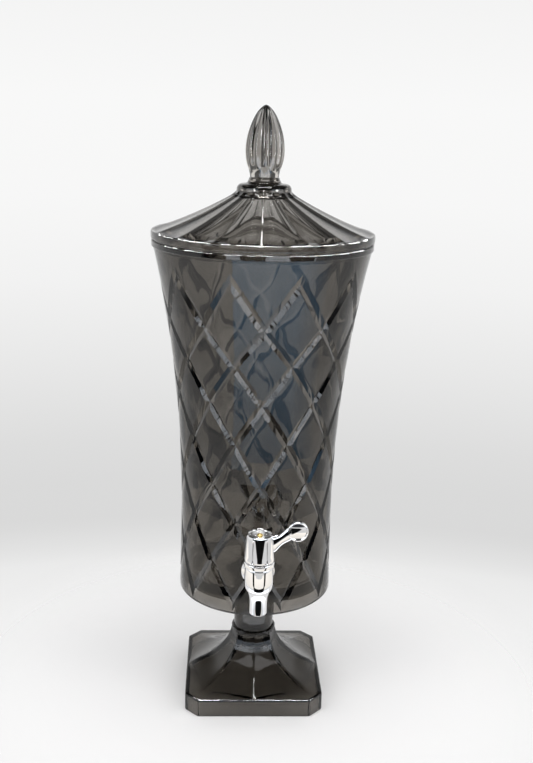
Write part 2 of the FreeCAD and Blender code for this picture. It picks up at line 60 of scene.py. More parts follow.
vessel_low, vessel_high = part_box("vessel")
pedestal_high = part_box("pedestal")[1]
lid_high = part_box("lid_shell")[1]
finial_low, finial_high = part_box("finial")
tap_low, tap_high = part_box("tap_body")
bonnet_low, bonnet_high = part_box("tap_bonnet")
badge_low, badge_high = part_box("handle_badge")
stud_low, stud_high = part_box("badge_stud")
handle_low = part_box("tap_handle")[0]

# The tap's upright axis, and its arm's axis, which lies above the middle of the body's box
ARM_RISE = 0.00485
TAP_Y = (badge_low.y + badge_high.y) / 2
TAP_Z = (tap_low.z + tap_high.z) / 2 + ARM_RISE


# ---------------------------------------------------------------- settings a user would change
def length(name, description, default):
    """A size in metres."""
    return bpy.props.FloatProperty(name=name, description=description, default=default, min=0.0,
                                   unit="LENGTH", precision=4)


def share(name, description, default):
    """A plain number from nought to one."""
    return bpy.props.FloatProperty(name=name, description=description, default=default, min=0.0,
                                   max=1.0, subtype="FACTOR", precision=3)


def colour(name, description, default):
    """A linear colour."""
    return bpy.props.FloatVectorProperty(name=name, description=description, default=default,
                                         size=3, min=0.0, max=1.0, subtype="COLOR")


class VesselShape(bpy.types.PropertyGroup):
    """Sizes of the vessel and of the diamonds cut in it."""
    waist_radius: length("Waist radius", "Outer radius at the narrowest place", 0.0613)
    foot_radius: length("Foot radius", "Outer radius at the foot", 0.0626)
    waist_rise: length("Waist rise", "Height of the waist above the foot", 0.066)
    neck_length: length("Neck length", "From the pedestal to the foot", 0.040)
    neck_radius: length("Neck radius", "Outer radius of the neck", 0.0164)
    neck_bore: length("Neck bore", "Radius of the hollow in the neck", 0.0115)
    spigot_radius: length("Spigot radius", "Radius of the part that enters the pedestal", 0.0137)
    wall: length("Wall", "Thickness of the side wall", 0.004)
    floor_rise: length("Floor rise", "Height of the floor above the foot", 0.016)
    floor: length("Floor", "Thickness of the floor", 0.0045)
    rim_height: length("Rim height", "Height of the bead round the mouth", 0.0045)
    rim_overhang: length("Rim overhang", "How far the bead stands out of the wall", 0.0003)
    columns: bpy.props.IntProperty(name="Columns", description="Diamonds round the vessel",
                                   default=10, min=3)
    groove_share: share("Groove width", "Half the cut's width, as a share of a diamond's side", 0.092)
    groove_depth: length("Groove depth", "Depth of the V cut between the diamonds", 0.0014)
    pillow: length("Pillow", "How far a diamond swells at its middle", 0.0004)
    unevenness: length("Unevenness", "Height of the slow waves inside", 0.00045)


class PedestalShape(bpy.types.PropertyGroup):
    """Sizes of the pedestal."""
    corner_cut: length("Corner cut", "Length cut off each corner of the foot", 0.0105)
    corner_rounding: length("Corner rounding", "Radius of the band's upright edges", 0.003)
    edge_height: length("Edge height", "Height of the straight band round the foot", 0.0155)
    wall: length("Wall", "Thickness of the band", 0.0035)
    flare_wall: length("Flare wall", "Thickness of the flare", 0.0045)
    ledge: length("Ledge", "Flat between the flare and the band's edge", 0.0012)
    stem_radius: length("Stem radius", "Radius of the round collar on top", 0.0183)
    collar_height: length("Collar height", "Height of the round collar", 0.003)
    socket_radius: length("Socket radius", "Radius of the socket for the vessel", 0.0140)
    flare_reach: length("Flare reach", "Radius that the flare's ridges run out to", 0.071)
    facet_hollow: length("Facet hollow", "How far each facet is scooped between its ridges", 0.0006)
    unevenness: length("Unevenness", "Height of the waves inside the flare", 0.0007)


class LidShape(bpy.types.PropertyGroup):
    """Sizes of the lid and the finial on it."""
    flutes: bpy.props.IntProperty(name="Flutes", description="Scooped panels round the lid",
                                  default=16, min=3)
    flute_depth: length("Flute depth", "Depth of a panel below its ridges at the edge", 0.0015)
    edge_height: length("Edge height", "Height of the straight band at the edge", 0.0045)
    shoulder: length("Shoulder", "Height of the rounding above the band", 0.0011)
    thickness: length("Thickness", "Thickness of the cone", 0.003)
    collar_radius: length("Collar radius", "Radius of the collar under the finial", 0.0208)
    collar_plate: length("Collar plate", "Thickness of the collar's top", 0.005)
    turn: bpy.props.FloatProperty(name="Turn", description="How far the lid is turned from square",
                                  default=math.radians(-2.9), subtype="ANGLE")
    ribs: bpy.props.IntProperty(name="Ribs", description="Ribs round the finial", default=12, min=3)
    rib_depth: length("Rib depth", "Depth of the creases between the ribs", 0.0019)


class TapShape(bpy.types.PropertyGroup):
    """Sizes of the tap."""
    cap_bottom: length("Cap bottom radius", "Radius of the handle at its lower edge", 0.0114)
    cap_top: length("Cap top radius", "Radius of the handle at its upper edge", 0.0098)
    grooves: bpy.props.IntProperty(name="Grooves", description="Grip grooves round the handle",
                                   default=6, min=0)
    groove_radius: length("Groove radius", "Radius of a grip groove", 0.0007)
    paddle_radius: length("Paddle radius", "Radius of the round end of the lever", 0.0078)
    paddle_offset: length("Paddle offset", "From the tap's axis to the paddle's middle", 0.028)
    shank_radius: length("Shank radius", "Outer radius of the threaded shank", 0.0079)
    thread_pitch: length("Thread pitch", "Distance between the shank's threads", 0.0015)


class Finish(bpy.types.PropertyGroup):
    """Colours of the materials."""
    smoke: colour("Smoke tint", "Light let through by a surface of the clear plastic",
                  (0.87, 0.865, 0.86))
    smoke_depth: colour("Smoke depth", "Colour that deep plastic goes towards", (0.33, 0.30, 0.255))
    chrome: colour("Chrome", "Colour of the plated parts", (0.86, 0.86, 0.865))
    brass: colour("Gold", "Colour of the stud", (0.87, 0.66, 0.26))
    floor: colour("Floor", "Colour of the floor near the tower", (0.880, 0.865, 0.855))


SETTINGS = {"vessel": VesselShape, "pedestal": PedestalShape, "lid": LidShape, "tap": TapShape,
            "finish": Finish}
SCENE_PREFIX = "tower_"


def chosen(name):
    """The values set in the scene for one group of pieces."""
    return getattr(bpy.context.scene, SCENE_PREFIX + name)


# ---------------------------------------------------------------- curves and rings
# Points of a mesh that lie closer together than this are one point
SAME_POINT = 1e-7


def smooth_curve(points, count):
    """Points evenly spread along a smooth curve through a few points of a plane."""
    ends = [2 * Vector(points[0]) - Vector(points[1]), 2 * Vector(points[-1]) - Vector(points[-2])]
    knots = [ends[0]] + [Vector(point) for point in points] + [ends[1]]
    made = []
    for i in range(count):
        place = (len(points) - 1) * i / (count - 1)
        first = min(int(place), len(points) - 2)
        t = place - first
        a, b, c, d = knots[first:first + 4]
        made.append(0.5 * (2 * b + (c - a) * t + (2 * a - 5 * b + 4 * c - d) * t ** 2
                           + (3 * b - a - 3 * c + d) * t ** 3))
    return [tuple(point) for point in made]


def arc_points(centre, radius, start, end, steps):
    """Points on an arc of a plane, between two directions in degrees, both included."""
    turns = [math.radians(start + (end - start) * i / steps) for i in range(steps + 1)]
    return [(centre[0] + radius * math.cos(a), centre[1] + radius * math.sin(a)) for a in turns]


def evenly(low, high, count):
    """Evenly spaced values, both ends included."""
    return [low + (high - low) * i / (count - 1) for i in range(count)]


def at_angle(radius, angle, z):
    """Point at a radius and an angle round the tower, counted from the front."""
    return Vector((radius * math.sin(angle), -radius * math.cos(angle), z))


def ring(radius, z, angles):
    """Ring of points; the radius is a number or a function of the angle. Radius 0 is one point."""
    if radius == 0:
        return [Vector((0, 0, z))]
    if callable(radius):
        return [at_angle(radius(angle), angle, z) for angle in angles]
    return [at_angle(radius, angle, z) for angle in angles]


def raised(outline, z):
    """An outline of radii and heights, moved up."""
    return [(radius, level + z) for radius, level in outline]


def full_turn(count):
    """Evenly spaced angles round the tower."""
    return [2 * math.pi * i / count for i in range(count)]


def skin(rings, loop=False):
    """Points and faces of a skin over rings of equal length; a ring of one point closes an end."""
    points, faces, starts = [], [], []
    for one in rings:
        starts.append(len(points))
        points += one
    pairs = [(i, i + 1) for i in range(len(rings) - 1)]
    if loop:
        pairs.append((len(rings) - 1, 0))
    for a, b in pairs:
        count = max(len(rings[a]), len(rings[b]))
        for i in range(count):
            j = (i + 1) % count
            corners = [starts[a] + i % len(rings[a]), starts[a] + j % len(rings[a]),
                       starts[b] + j % len(rings[b]), starts[b] + i % len(rings[b])]
            faces.append(list(dict.fromkeys(corners)))
    return points, faces


def link_mesh(name, mesh):
    """New object of a mesh, put in the scene."""
    made = bpy.data.objects.new(name, mesh)
    bpy.context.scene.collection.objects.link(made)
    return made


def piece(name, points, faces, crease=20.0, place=None):
    """Mesh object from points and faces, smooth except where faces meet at more than the crease."""
    mesh = bpy.data.meshes.new(name)
    mesh.from_pydata([tuple(point) for point in points], [], faces)
    if place is not None:
        mesh.transform(place)
    made = link_mesh(name, mesh)
    dress(made, crease)
    return made


def dress(made, crease):
    """Faces outwards, smooth shading and sharp creases for a finished mesh."""
    bm = bmesh.new()
    bm.from_mesh(made.data)
    bmesh.ops.remove_doubles(bm, verts=bm.verts, dist=SAME_POINT)
    bmesh.ops.recalc_face_normals(bm, faces=bm.faces)
    bm.to_mesh(made.data)
    bm.free()
    made.data.shade_smooth()
    made.data.set_sharp_from_angle(angle=math.radians(crease))


def combine(target, tool, operation, crease=20.0):
    """Unites a mesh with another, or cuts the other out of it, and removes the other."""
    modifier = target.modifiers.new("combine", "BOOLEAN")
    modifier.operation = operation
    modifier.solver = "EXACT"
    modifier.object = tool
    depsgraph = bpy.context.evaluated_depsgraph_get()
    result = bpy.data.meshes.new_from_object(target.evaluated_get(depsgraph))
    target.modifiers.clear()
    target.data = result
    bpy.data.objects.remove(tool)
    if not result.polygons:
        raise RuntimeError("nothing is left of " + target.name)
    dress(target, crease)


TAP_AXIS = Matrix.Translation((0, TAP_Y, 0))


def along_front(y, z=0.0):
    """Turns an upright shape to point to the front from a place on the tower's middle line."""
    return Matrix.Translation((0, y, z)) @ Matrix.Rotation(math.radians(90), 4, "X")


def turned(name, outline, count=64, place=TAP_AXIS, crease=30.0, loop=False):
    """Solid turned from an outline: its two ends lie on the axis, or it loops round a hole."""
    angles = full_turn(count)
    rings = [ring(radius, z, angles) for radius, z in outline]
    return piece(name, *skin(rings, loop=loop), crease=crease, place=place)


# ---------------------------------------------------------------- materials
def add_node(tree, kind, values=None, **settings):
    """New node with its settings, its inputs' values and the sockets that feed them."""
    made = tree.nodes.new(kind)
    for name, value in settings.items():
        setattr(made, name, value)
    for name, value in (values or {}).items():
        if isinstance(value, bpy.types.NodeSocket):
            tree.links.new(value, made.inputs[name])
        else:
            made.inputs[name].default_value = value
    return made


def shared_group(name, inputs, output, kind, fill):
    """Node group with inputs of (name, socket type, default) and one output, built and filled once."""
    if name in bpy.data.node_groups:
        return bpy.data.node_groups[name]
    tree = bpy.data.node_groups.new(name, "ShaderNodeTree")
    for label, socket_type, default in inputs:
        socket = tree.interface.new_socket(label, in_out="INPUT", socket_type=socket_type)
        socket.default_value = default
    tree.interface.new_socket(output, in_out="OUTPUT", socket_type=kind)
    given = tree.nodes.new("NodeGroupInput")
    out = tree.nodes.new("NodeGroupOutput")
    tree.links.new(fill(tree, given.outputs), out.inputs[output])
    return tree


FLOAT, COLOUR = "NodeSocketFloat", "NodeSocketColor"


def cloud(tree, scale, detail, **values):
    """Noise fixed to the object, from nought to one."""
    place = add_node(tree, "ShaderNodeTexCoord").outputs["Object"]
    values.update({"Vector": place, "Scale": scale, "Detail": detail})
    return add_node(tree, "ShaderNodeTexNoise", values).outputs["Fac"]


# How much closer together the quick waves of a mould's ripple lie than its slow ones
QUICK_WAVES = 3.7


def mould_ripple():
    """Height of the slow waves that a polished mould leaves in a moulded surface."""
    def fill(tree, given):
        slow = cloud(tree, given["Scale"], 1.0)
        quick_scale = add_node(tree, "ShaderNodeMath", {0: given["Scale"], 1: QUICK_WAVES},
                               operation="MULTIPLY")
        quick = cloud(tree, quick_scale.outputs[0], 2.0)
        return add_node(tree, "ShaderNodeMath", {0: quick, 1: given["Fine"], 2: slow},
                        operation="MULTIPLY_ADD").outputs[0]

    return shared_group("mould_ripple", [("Scale", FLOAT, 60.0), ("Fine", FLOAT, 0.25)],
                        "Height", FLOAT, fill)


def handled_polish():
    """Roughness that changes over a polished surface, as wiping and handling leave it."""
    def fill(tree, given):
        return add_node(tree, "ShaderNodeMapRange",
                        {"Value": cloud(tree, given["Scale"], 4.0, Roughness=0.6),
                         "From Min": 0.42, "From Max": 0.72,
                         "To Min": given["Smooth"], "To Max": given["Dull"]}).outputs["Result"]

    return shared_group("handled_polish", [("Scale", FLOAT, 40.0), ("Smooth", FLOAT, 0.02),
                                           ("Dull", FLOAT, 0.08)], "Roughness", FLOAT, fill)


def uneven_tint():
    """Colour that drifts between two tints over a surface."""
    def fill(tree, given):
        drift = cloud(tree, given["Scale"], 2.0)
        mixed = add_node(tree, "ShaderNodeMix", {"Factor": drift}, data_type="RGBA")
        tree.links.new(given["Pale"], mixed.inputs[6])
        tree.links.new(given["Deep"], mixed.inputs[7])
        return mixed.outputs[2]

    return shared_group("uneven_tint", [("Scale", FLOAT, 20.0), ("Pale", COLOUR, (1, 1, 1, 1)),
                                        ("Deep", COLOUR, (0.8, 0.8, 0.8, 1))], "Color", COLOUR, fill)


def new_material(name):
    """Material with an empty node tree and its output node."""
    made = bpy.data.materials.new(name)
    made.use_nodes = True
    made.node_tree.nodes.clear()
    return made, made.node_tree, made.node_tree.nodes.new("ShaderNodeOutputMaterial")


def use_group(tree, group, values):
    """A node group placed in a material with its own values."""
    made = tree.nodes.new("ShaderNodeGroup")
    made.node_tree = group
    for name, value in values.items():
        made.inputs[name].default_value = value
    return made.outputs[0]


def solid(tone):
    """Colour with full alpha."""
    return (*tone, 1.0)


def scaled(tone, factor):
    """Colour with full alpha, made lighter or darker."""
    return (*[min(1.0, channel * factor) for channel in tone], 1.0)


def worked_surface(tree, tint, drift, polish, ripple):
    """Values for a surface's colour, roughness and normal, each fed by one of the shared effects.

    The drift of the tint is (scale, palest, deepest), the polish (scale, smooth, dull) and the ripple
    (scale, share of quick waves, height in metres).
    """
    shade = use_group(tree, uneven_tint(), {"Scale": drift[0], "Pale": scaled(tint, drift[1]),
                                            "Deep": scaled(tint, drift[2])})
    rough = use_group(tree, handled_polish(), {"Scale": polish[0], "Smooth": polish[1],
                                               "Dull": polish[2]})
    waves = use_group(tree, mould_ripple(), {"Scale": ripple[0], "Fine": ripple[1]})
    bump = add_node(tree, "ShaderNodeBump", {"Height": waves, "Strength": 1.0, "Distance": ripple[2]})
    return {"Base Color": shade, "Roughness": rough, "Normal": bump.outputs["Normal"]}


# Patterns of each kind of surface, as worked_surface takes them; smooth and dull differ by material
CLEAR_DRIFT, CLEAR_POLISH, CLEAR_RIPPLE = (26.0, 1.04, 0.96), (45.0, 0.0, 0.02), (55.0, 0.2, 0.00006)
PLATED_DRIFT, PLATED_MARKS, PLATED_WAVES = (90.0, 1.03, 0.95), 160.0, (240.0, 0.2)
MOULDED_DRIFT, MOULDED_MARKS, MOULDED_RIPPLE = (150.0, 1.08, 0.88), 300.0, (900.0, 0.6, 0.00002)
PLASTIC_IOR = 1.49
# How strongly a metre of the plastic darkens what is seen through it, for each piece
DENSITIES = {"vessel": 395.0, "pedestal": 320.0, "lid": 170.0, "finial": 64.0}


def clear_plastic(piece_name):
    """Smoke-grey clear plastic: tinted at its surfaces, deeper where it is thick."""
    finish = chosen("finish")
    material, tree, out = new_material("smoke_" + piece_name)
    values = worked_surface(tree, finish.smoke, CLEAR_DRIFT, CLEAR_POLISH, CLEAR_RIPPLE)
    values.update({"IOR": PLASTIC_IOR, "Transmission Weight": 1.0})
    glass = add_node(tree, "ShaderNodeBsdfPrincipled", values)
    passing = add_node(tree, "ShaderNodeBsdfTransparent", {"Color": scaled(finish.smoke, 0.95)})
    path = add_node(tree, "ShaderNodeLightPath")
    both = add_node(tree, "ShaderNodeMixShader", {0: path.outputs["Is Shadow Ray"],
                                                  1: glass.outputs[0], 2: passing.outputs[0]})
    inside = add_node(tree, "ShaderNodeVolumeAbsorption", {"Color": solid(finish.smoke_depth),
                                                           "Density": DENSITIES[piece_name]})
    tree.links.new(both.outputs[0], out.inputs["Surface"])
    tree.links.new(inside.outputs[0], out.inputs["Volume"])
    return material


def plated(name, tint, smooth, dull, ripple_height=0.000004):
    """Bright plated metal with faint waves and wiping marks."""
    material, tree, out = new_material(name)
    values = worked_surface(tree, tint, PLATED_DRIFT, (PLATED_MARKS, smooth, dull),
                            (*PLATED_WAVES, ripple_height))
    metal = add_node(tree, "ShaderNodeBsdfPrincipled", {**values, "Metallic": 1.0})
    tree.links.new(metal.outputs[0], out.inputs["Surface"])
    return material


def moulded(name, tint, smooth, dull, **sockets):
    """Plain moulded plastic or rubber with a fine grain."""
    material, tree, out = new_material(name)
    values = worked_surface(tree, tint, MOULDED_DRIFT, (MOULDED_MARKS, smooth, dull), MOULDED_RIPPLE)
    body = add_node(tree, "ShaderNodeBsdfPrincipled", {**values, **sockets})
    tree.links.new(body.outputs[0], out.inputs["Surface"])
    return material


def paint(made, material):
    """Gives an object one material in all its slots."""
    if not made.material_slots:
        made.data.materials.append(material)
    for one in made.material_slots:
        one.material = material


def settle(made, node_name, body, material):
    """A new piece takes its material, its place in the frame and the CAD node it stands for."""
    paint(made, material)
    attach(made, body)
    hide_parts(node_name)


# ---------------------------------------------------------------- vessel
# Heights at which the cuts cross, from the zigzag's peaks down to the foot
CROSSINGS = (0.3593, 0.3234, 0.2959, 0.2659, 0.2343, 0.2003, 0.1684, 0.1350, 0.1028)
# How late the wall flares towards the mouth
FLARE_POWER = 2.15
# Faces along a diamond's side between its cuts, and levels and span of the waves inside
PANEL_CUTS = 8
INSIDE_LEVELS = 66
WAVE_SPAN = 0.013
# Two places of the lattice count as one when they differ by less than this share of a step
LATTICE_SLACK = 1e-5
KEYS_A_STEP = 10000
# Two points of the sheet's cut edge count as one when they lie closer than this
TRIM_SLACK = 1e-5
VESSEL_CREASE = 14.0
RIM_ROUNDING = 0.0007
RIM_NECK = 0.0004
RIM_WAVES = 0.00006
LIP_STEP = 0.0012
FLOOR_CORNER = 0.005
FLOOR_WAVES = 0.0005
# The foot ring's underside, as distances in from its outside and heights above it
FOOT_RING = ((0.0035, 0), (0.0045, 0.0007))
FOOT_ROUNDING = 0.002
NECK_FILLET = 0.008
# The pad that the tap's washers press on, as radii and depths behind the wall's outside
PAD_RADIUS = 0.0130
PAD_FRONT = ((0, 0), (0.0122, 0), (0.0128, -0.0002), (PAD_RADIUS, -0.0008))
BORE_CLEARANCE = 0.00025
BORE_OVERCUT = 0.005
PAD_SIDES, WALL_BORE_SIDES = 64, 48


def foot_level():
    """Height of the vessel's foot."""
    return pedestal_high.z + chosen("vessel").neck_length


def body_radius(z):
    """Outer radius of the vessel at a height: a power curve each way from the waist."""
    size = chosen("vessel")
    waist_z = foot_level() + size.waist_rise
    mouth = vessel_high.x - size.rim_overhang
    if z >= waist_z:
        part = (z - waist_z) / (vessel_high.z - waist_z)
        return size.waist_radius + (mouth - size.waist_radius) * part ** FLARE_POWER
    part = (waist_z - z) / size.waist_rise
    return size.waist_radius + (size.foot_radius - size.waist_radius) * part ** 2


def crossing_height(row):
    """Height at a row of crossings, where whole rows are crossings and the rest lies between."""
    first = min(max(math.floor(row), 0), len(CROSSINGS) - 2)
    return CROSSINGS[first] + (CROSSINGS[first + 1] - CROSSINGS[first]) * (row - first)


def is_cut(i, j):
    """Whether diamond i, j lies between the zigzag and the foot, so that its sides are cut."""
    return -1 <= i + j <= len(CROSSINGS) - 3


def cut_depth(s, t):
    """Share of a cut's full depth at a place of the lattice, 0 off the cuts."""
    i, j = round(s), round(t)
    on_s, on_t = abs(s - i) < LATTICE_SLACK, abs(t - j) < LATTICE_SLACK
    if on_s and on_t:
        return float(is_cut(i, j) or is_cut(i, j - 1))
    if on_s:
        return float(is_cut(i, math.floor(t)))
    if on_t:
        return float(is_cut(math.floor(s), j))
    return 0.0


def lattice_point(s, t, size):
    """Point of the vessel's outside at a place of the lattice of diamonds."""
    row, half_steps = s + t + 1, s - t
    z = crossing_height(row)
    i, j = math.floor(s + LATTICE_SLACK), math.floor(t + LATTICE_SLACK)
    inward = size.groove_depth * cut_depth(s, t)
    swell = 0.0
    if is_cut(i, j):
        edge, span = size.groove_share, 1 - 2 * size.groove_share
        a = 2 * (s - i - edge) / span - 1
        b = 2 * (t - j - edge) / span - 1
        if abs(a) < 1 and abs(b) < 1:
            swell = size.pillow * (1 - a * a) * (1 - b * b)
    return at_angle(body_radius(z) - inward + swell, half_steps * math.pi / size.columns, z)


def diamond_sheet(bm, size):
    """The vessel's outside as a sheet of diamonds with V cuts between them, past both its ends."""
    edge = size.groove_share
    cuts = [0.0] + evenly(edge, 1 - edge, PANEL_CUTS + 1) + [1.0]
    around = 2 * size.columns
    made = {}

    def corner(s, t):
        key = (round((s + t) * KEYS_A_STEP),
               round(((s - t) % around) * KEYS_A_STEP) % (around * KEYS_A_STEP))
        if key not in made:
            made[key] = bm.verts.new(lattice_point(s, t, size))
        return made[key]

    last = len(cuts) - 2
    for row in range(-3, len(CROSSINGS)):
        for column in range(size.columns):
            across = 2 * column + row % 2
            i, j = (row + across) // 2, (row - across) // 2
            for a in range(last + 1):
                for b in range(last + 1):
                    face = [corner(i + cuts[a + right], j + cuts[b + up])
                            for right, up in ((0, 0), (1, 0), (1, 1), (0, 1))]
                    if a in (0, last) and b in (0, last):
                        turn = 0 if (a == 0) == (b == 0) else 1
                        face = face[turn:] + face[:turn]
                        bm.faces.new((face[0], face[1], face[2]))
                        bm.faces.new((face[0], face[2], face[3]))
                    else:
                        bm.faces.new(face)


def trim(bm, z, keep_above):
    """Cuts a sheet at a height and returns the new edge's vertices in order round the tower."""
    bmesh.ops.bisect_plane(bm, geom=bm.verts[:] + bm.edges[:] + bm.faces[:], dist=SAME_POINT,
                           plane_co=(0, 0, z), plane_no=(0, 0, -1 if keep_above else 1),
                           clear_outer=True)
    bmesh.ops.remove_doubles(bm, verts=bm.verts, dist=TRIM_SLACK)
    edge = [v for v in bm.verts if v.is_boundary and abs(v.co.z - z) < TRIM_SLACK]
    for v in edge:
        v.co = at_angle(body_radius(z), math.atan2(v.co.x, -v.co.y), z)
    return sorted(edge, key=lambda v: math.atan2(v.co.x, -v.co.y))


def uneven(radius, z, height, span):
    """Radius that drifts round the tower as the inside of a moulding does; a function of the angle."""
    def at(angle):
        plain = radius(angle) if callable(radius) else radius
        return plain + height * noise.noise(at_angle(plain, angle, z) / span)
    return at


def dashed(radius, height):
    """Radius with short uneven waves, which break up the shine along an edge."""
    def at(angle):
        return radius + height * (math.sin(17 * angle) + math.sin(43 * angle + 1.0))
    return at


def extend(bm, edge, outline):
    """Carries a sheet on from an edge through the radii and heights of an outline."""
    angles = [math.atan2(v.co.x, -v.co.y) for v in edge]
    here = edge
    for radius, z in outline:
        new = [bm.verts.new(point) for point in ring(radius, z, angles)]
        for i in range(len(angles)):
            j = (i + 1) % len(angles)
            corners = (here[i], here[j], new[j % len(new)], new[i % len(new)])
            bm.faces.new(list(dict.fromkeys(corners)))
        here = new


def vessel_inside(wall_top, floor_z):
    """Radii and heights of the rim, the wall's inside and the floor, from the rim's outside inwards."""
    size = chosen("vessel")
    top_z = vessel_high.z
    rim = vessel_high.x
    mouth = [(rim - RIM_NECK, wall_top)]
    mouth += arc_points((rim - RIM_ROUNDING, wall_top + RIM_ROUNDING), RIM_ROUNDING, -60, 0, 2)
    outer_edge = arc_points((rim - RIM_ROUNDING, top_z - RIM_ROUNDING), RIM_ROUNDING, 15, 75, 3)
    mouth += [(dashed(radius, RIM_WAVES), z) for radius, z in outer_edge]
    mouth += [(rim - RIM_ROUNDING, top_z)]
    lip = body_radius(top_z) - size.wall + LIP_STEP
    mouth += arc_points((lip + RIM_ROUNDING, top_z - RIM_ROUNDING), RIM_ROUNDING, 90, 180, 3)
    inside = [(uneven(body_radius(z) - size.wall, z, size.unevenness, WAVE_SPAN), z)
              for z in evenly(wall_top, floor_z + FLOOR_CORNER, INSIDE_LEVELS)]
    low = body_radius(floor_z + FLOOR_CORNER) - size.wall - FLOOR_CORNER
    bowl = arc_points((low, floor_z + FLOOR_CORNER), FLOOR_CORNER, 0, -90, 6)[1:]
    floor = [(dashed(low - 0.002, FLOOR_WAVES), floor_z + 0.0006),
             (dashed(low - 0.0045, FLOOR_WAVES), floor_z - 0.0002),
             (0.024, floor_z - 0.0004), (0.012, floor_z), (0, floor_z)]
    return mouth + inside + bowl + floor


def vessel_underside(foot_z, floor_z):
    """Radii and heights of the foot ring, the neck, the spigot and its bore, from the foot inwards."""
    size = chosen("vessel")
    under_z = floor_z - size.floor
    shoulder = pedestal_high.z
    outline = arc_points((size.foot_radius - FOOT_ROUNDING, foot_z + FOOT_ROUNDING), FOOT_ROUNDING,
                         -20, -90, 4)
    outline += [(size.foot_radius - step_in, foot_z + up) for step_in, up in FOOT_RING]
    outline += [(size.foot_radius - 0.005, under_z - 0.002), (size.foot_radius - 0.007, under_z)]
    outline += arc_points((size.neck_radius + NECK_FILLET, under_z - NECK_FILLET), NECK_FILLET, 90, 180, 6)
    outline += [(size.neck_radius, z) for z in evenly(under_z - NECK_FILLET - 0.006, shoulder, 5)]
    outline += [(size.spigot_radius, shoulder), (size.spigot_radius, vessel_low.z),
                (size.neck_bore, vessel_low.z), (size.neck_bore, 0.5 * (floor_z + vessel_low.z)),
                (size.neck_bore, under_z - 0.0015), (size.neck_bore - 0.0015, under_z), (0, under_z)]
    return outline


def make_vessel():
    """The vessel: diamond-cut outside, plain inside, foot, neck and spigot, bored for the tap."""
    size = chosen("vessel")
    foot_z = foot_level()
    floor_z = foot_z + size.floor_rise
    wall_top = vessel_high.z - size.rim_height
    bm = bmesh.new()
    diamond_sheet(bm, size)
    top_edge = trim(bm, wall_top, keep_above=False)
    foot_edge = trim(bm, foot_z + FOOT_ROUNDING, keep_above=True)
    extend(bm, top_edge, vessel_inside(wall_top, floor_z))
    extend(bm, foot_edge, vessel_underside(foot_z, floor_z))
    mesh = bpy.data.meshes.new("clear_vessel")
    bm.to_mesh(mesh)
    bm.free()
    made = link_mesh("clear_vessel", mesh)
    dress(made, VESSEL_CREASE)

    pad_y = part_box("tap_outer_washer")[1].y
    through = pad_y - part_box("tap_inner_washer")[0].y
    place = along_front(pad_y, TAP_Z)
    pad = [*PAD_FRONT, (PAD_RADIUS, through), (0, through)]
    combine(made, turned("pad", pad, PAD_SIDES, place), "UNION", VESSEL_CREASE)
    radius = chosen("tap").shank_radius + BORE_CLEARANCE
    bore = [(0, BORE_OVERCUT), (radius, BORE_OVERCUT), (radius, through - BORE_OVERCUT),
            (0, through - BORE_OVERCUT)]
    combine(made, turned("bore", bore, WALL_BORE_SIDES, place), "DIFFERENCE", VESSEL_CREASE)
    return made


# ---------------------------------------------------------------- pedestal
FLARE_FULLNESS = 1.85
FLARE_LEVELS = 16
HOLLOW_LEVELS = 24
LEVEL_CROWDING = 1.5
# Height above the band over which the mid-side ridges run out straight, and how much they curve there
SIDE_RUN_OUT = 0.0085
SIDE_EASE = 0.18
HOLLOW_WAVE = 0.010
# How far a ridge is worn down, and the angle to each side over which it is
RIDGE_ROUNDING = 0.0003
RIDGE_SPAN = 0.03
BAND_BEVEL = 0.0011
LEAST_BAND_ROUNDING = 0.002
CORNER_REACH = 0.3
SHELF_BELOW_SPIGOT = 0.002
ANGLE_SLACK = 1e-9
# Angles of the mesh's lines beside a mid-side ridge, and to each side of a corner of the band
RIDGE_LINES = (0.0, 0.006, 0.014, 0.022, 0.03)
CORNER_LINES = 0.018
PEDESTAL_CREASE = 16.0


def polygon_radius(angle, corners):
    """Radius at an angle of a polygon given as (angle, radius) corners in order round the tower."""
    turn = angle % (2 * math.pi)
    places = [place for place, _ in corners]
    after = bisect.bisect_right(places, turn + ANGLE_SLACK) % len(corners)
    a0, r0 = corners[after - 1]
    a1, r1 = corners[after]
    span = (a1 - a0) % (2 * math.pi)
    part = (turn - a0) % (2 * math.pi)
    across = r0 * math.sin(part) + r1 * math.sin(span - part)
    return r0 * r1 * math.sin(span) / across


def band_corners(inset):
    """Corners of the foot's square with its corners cut, moved in by an inset."""
    size = chosen("pedestal")
    half = pedestal_high.x - inset
    near = pedestal_high.x - size.corner_cut - inset * (math.sqrt(2) - 1)
    lean = math.atan2(near, half)
    corners = []
    for quarter_turn in range(4):
        start = quarter_turn * math.pi / 2
        corners += [(start + lean, math.hypot(near, half)),
                    (start + math.pi / 2 - lean, math.hypot(near, half))]
    return corners


def band_radius(angle, inset):
    """Radius of the band at an angle, its upright edges rounded."""
    rounding = max(chosen("pedestal").corner_rounding - inset, LEAST_BAND_ROUNDING)
    for i, (place, centre) in enumerate(band_corners(inset + rounding)):
        off = (angle - place + math.pi) % (2 * math.pi) - math.pi
        across = centre * math.sin(off)
        if abs(off) < CORNER_REACH and abs(across) < rounding:
            reach = centre * math.cos(off) + math.sqrt(rounding ** 2 - across ** 2)
            away = math.atan2(reach * math.sin(angle) - centre * math.sin(place),
                              reach * math.cos(angle) - centre * math.cos(place))
            lean = (away - (i + 0.5) * math.pi / 4 + math.pi) % (2 * math.pi) - math.pi
            if abs(lean) < math.pi / 8:
                return reach
    return polygon_radius(angle, band_corners(inset))


def flare_radius(z):
    """Radius of the flare's corner ridges at a height, a concave super-ellipse."""
    size = chosen("pedestal")
    part = (pedestal_high.z - z) / (pedestal_high.z - size.edge_height)
    part = min(max(part, 0.0), 1.0)
    rest = (1 - part ** FLARE_FULLNESS) ** (1 / FLARE_FULLNESS)
    return size.flare_reach - (size.flare_reach - size.stem_radius) * rest


